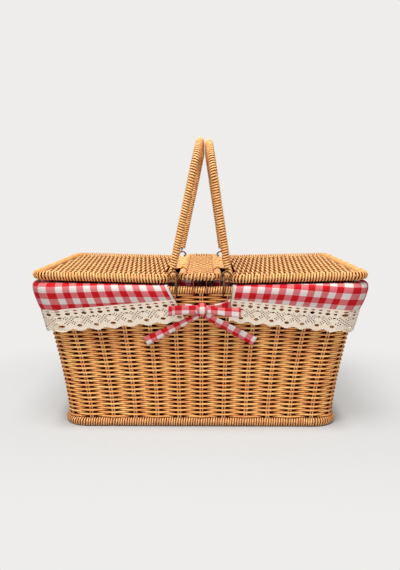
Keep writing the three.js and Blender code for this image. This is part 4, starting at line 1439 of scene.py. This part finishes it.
lining_length = RoundLoop(*inner_line(rim_height / 2)).length
lining_drop = rim_height - lining_floor
bag = cut_sheet("lining_side", LINING_COLUMNS, LINING_ROWS, lining_hang,
                lambda share, down: (share * lining_length, down * lining_drop + LINING_SHIFT))
settle(bag, gingham, "basket", "gingham_cloth", "lining_bag")
floor_size = [2 * half for half in inner_line(lining_floor)[:2]]
floor = cut_sheet("lining_floor", LINING_COLUMNS, FLOOR_ROWS, floor_hang,
                  lambda share, down: tuple(floor_hang(share, down)[:2]))
settle(floor, gingham, "basket", "gingham_cloth")
print("lining:", round(lining_length / MM), "by", round(lining_drop / MM), "mm")

# %% [markdown]
# ## Bows
# A ribbon of the same cloth comes off each skirt's inner edge and the two are tied in a bow, front and back.
# A bow has two loops, two tails and a band pulled tight round the middle. Each is a strip of ribbon, given
# by stations along it: a middle, the way across and a width.

# %% Sizes of the bows
RIBBON = 11 * MM
KNOT_WIDTH = 9 * MM
KNOT_TALL = 15 * MM
KNOT_DEPTH = 10.4 * MM
KNOT_HEIGHT = rim_height - 22 * MM
KNOT_STEPS = 16
KNOT_FLAT = 0.94
KNOT_WIDE = 1.3
KNOT_PINCH = 0.4
KNOT_GAP = 3.8 * MM
BOW_SHIFT = 2.5 * MM
LOOP_REACH = {"left": 34.8 * MM, "right": 40.8 * MM}
LOOP_ROUND = 3.2 * MM
LOOP_START = {"left": 0.85, "right": 0.55}
LOOP_DROOP = {"left": 1 * MM, "right": 2.9 * MM}
LOOP_GAP = 2 * MM
LOOP_OPENS = 1.5
LOOP_CHECK_SHIFT = 4 * MM
ROOT_ROUND = 1.6 * MM
TAIL_REACH = {"left": 66.5 * MM, "right": 61.5 * MM}
TAIL_START = {"left": 0.5, "right": 0.7}
TAIL_DROP = 40 * MM
TAIL_OUT = 7.4 * MM
TAIL_END_OUT = 4.8 * MM
TAIL_STEPS = 8
RIBBON_STEP = 2 * MM
RIBBON_COLUMNS_LEAST = 8
RIBBON_ROWS = 4
STRAP_DROP = {"left": 12 * MM, "right": 5.5 * MM}
STRAP_WIDTHS = (RIBBON, 9 * MM, 7 * MM)
STRAP_BEND = 0.6
STRAP_RISE = 2 * MM
STRAP_OUT = 1.2 * MM
STRAP_DYED = 0.5
KNOT_DYED = 1.0
LOOP_DYED = {"left": 0.8, "right": 0.95}
TAIL_DYED = {"left": 0.78, "right": 0.08}
wall_front = wall_line(KNOT_HEIGHT + KNOT_TALL / 2)[1]
knot_back = -(wall_front + KNOT_GAP)
knot_middle = knot_back - KNOT_DEPTH / 2
lace_front = -(wall_front + LACE_OUT + LACE / 2)
print("bows: ribbon", round(RIBBON / MM), "mm wide")


# %% Where the ribbons run
def knot_stations():
    """The band round the middle of the bow."""
    stations = []
    for step in range(KNOT_STEPS + 1):
        turn = 2 * math.pi * step / KNOT_STEPS + math.pi / 2
        y = knot_middle + KNOT_DEPTH / 2 * math.sin(turn) * KNOT_FLAT
        width = KNOT_WIDTH * (KNOT_WIDE - KNOT_PINCH * abs(math.cos(turn)))
        stations.append(((0, y, KNOT_HEIGHT + KNOT_TALL / 2 * math.cos(turn)), (1, 0, 0), width))
    return stations


def loop_stations(side, sign):
    """A loop that is narrow at the knot and droops towards its tip."""
    reach = LOOP_REACH[side]
    root = Vector((sign * (KNOT_WIDTH / 2 + ROOT_ROUND), knot_middle))
    tip = Vector((sign * reach, lace_front - LOOP_GAP - LOOP_ROUND))
    droop = LOOP_DROOP[side] / reach
    stations = []
    for x, y in belt(root, ROOT_ROUND, tip, LOOP_ROUND):
        width = blend(LOOP_START[side], 1, min(1, LOOP_OPENS * abs(x) / reach))
        stations.append(((x, y, KNOT_HEIGHT - droop * abs(x)), UP, RIBBON * width))
    return stations


def strap_stations(side, sign):
    """The end of ribbon that comes from the skirt's inner edge to the knot."""
    hem_drop = HEM_INNER - RIBBON - rim_height
    start_x = sign * (EDGE_START[side] + EDGE_LEAN[side] * hem_drop) - BOW_SHIFT
    middles = (
        (start_x, lace_front, HEM_INNER - STRAP_DROP[side]),
        (start_x * STRAP_BEND, knot_back - STRAP_OUT, KNOT_HEIGHT + STRAP_RISE),
        (sign * KNOT_WIDTH / 2, knot_back - STRAP_OUT, KNOT_HEIGHT),
    )
    return [(middle, UP, width) for middle, width in zip(middles, STRAP_WIDTHS)]


def tail_stations(side, sign):
    """A tail that hangs out from under the knot and comes to lie nearer the wall."""
    start = Vector((sign * KNOT_WIDTH / 2, 0, KNOT_HEIGHT - KNOT_TALL / 2))
    tip = Vector((sign * TAIL_REACH[side], 0, KNOT_HEIGHT - TAIL_DROP))
    way = (tip - start).normalized()
    across = Vector((-way.z * sign, 0, abs(way.x)))
    stations = []
    for step in range(TAIL_STEPS + 1):
        share = step / TAIL_STEPS
        middle = start.lerp(tip, share)
        out = blend(TAIL_OUT, TAIL_END_OUT, clamp(2 * share - 1))
        middle.y = -(wall_line(middle.z)[1] + out)
        stations.append((middle, across, RIBBON * blend(TAIL_START[side], 1, share)))
    return stations


print("ribbons: knot, loops, straps and tails")


# %% Tie the bows
def lay_ribbon(name, stations, place, dyed, shift, span):
    """A strip of ribbon through stations of (middle, way across, width); dyed is where its red row lies."""
    middles, lengths = eased([station[0] for station in stations])
    across = eased([Vector(station[1]) * station[2] for station in stations])[0]
    columns = max(RIBBON_COLUMNS_LEAST, round(lengths[-1] / RIBBON_STEP))

    def hang(share, side):
        middle = Vector(along_line(middles, lengths, share))
        way = Vector(along_line(across, lengths, share))
        return place @ (middle + way * (side - 0.5))

    def flat(share, side):
        return (share - 0.5) * lengths[-1] + shift, (side - dyed) * span + CHECK_TALL / 2

    return cut_sheet(name, columns, RIBBON_ROWS, hang, flat), lengths[-1]


def tie_bow(end, end_sign):
    turn = 0 if end_sign < 0 else math.pi
    place = Matrix.Rotation(turn, 4, "Z") @ Matrix.Translation((BOW_SHIFT, 0, 0))

    def add(part, stations, dyed, shift=0.0, span=RIBBON):
        ribbon, length = lay_ribbon(f"ribbon_{end}_{part}", stations, place, dyed, shift, span)
        settle(ribbon, gingham, "basket", "gingham_cloth", f"{end}_bow_{part}")

    add("knot", knot_stations(), KNOT_DYED, span=CHECK_TALL)
    for side, sign in SIDES:
        add(f"{side}_loop", loop_stations(side, sign), LOOP_DYED[side], LOOP_CHECK_SHIFT)
        add(f"{side}_strap", strap_stations(side, sign), STRAP_DYED)
        add(f"{side}_tail", tail_stations(side, sign), TAIL_DYED[side])
    print("bow", end, "tied")


for end, end_sign in ENDS:
    tie_bow(end, end_sign)

# %% [markdown]
# ## Rods
# The rods inside the windings hardly show, only in a break or at an end. They keep their own solids and get
# the same finish as the windings.

# %% Bare rods
rod_nodes = [name for name in frame["nodes"] if name.endswith("_core") and not name.startswith("handle")]
for name in rod_nodes:
    rod = frame["nodes"][name]
    rod.data.materials.clear()
    rod.data.materials.append(wound_cane)
print("rods:", len(rod_nodes))
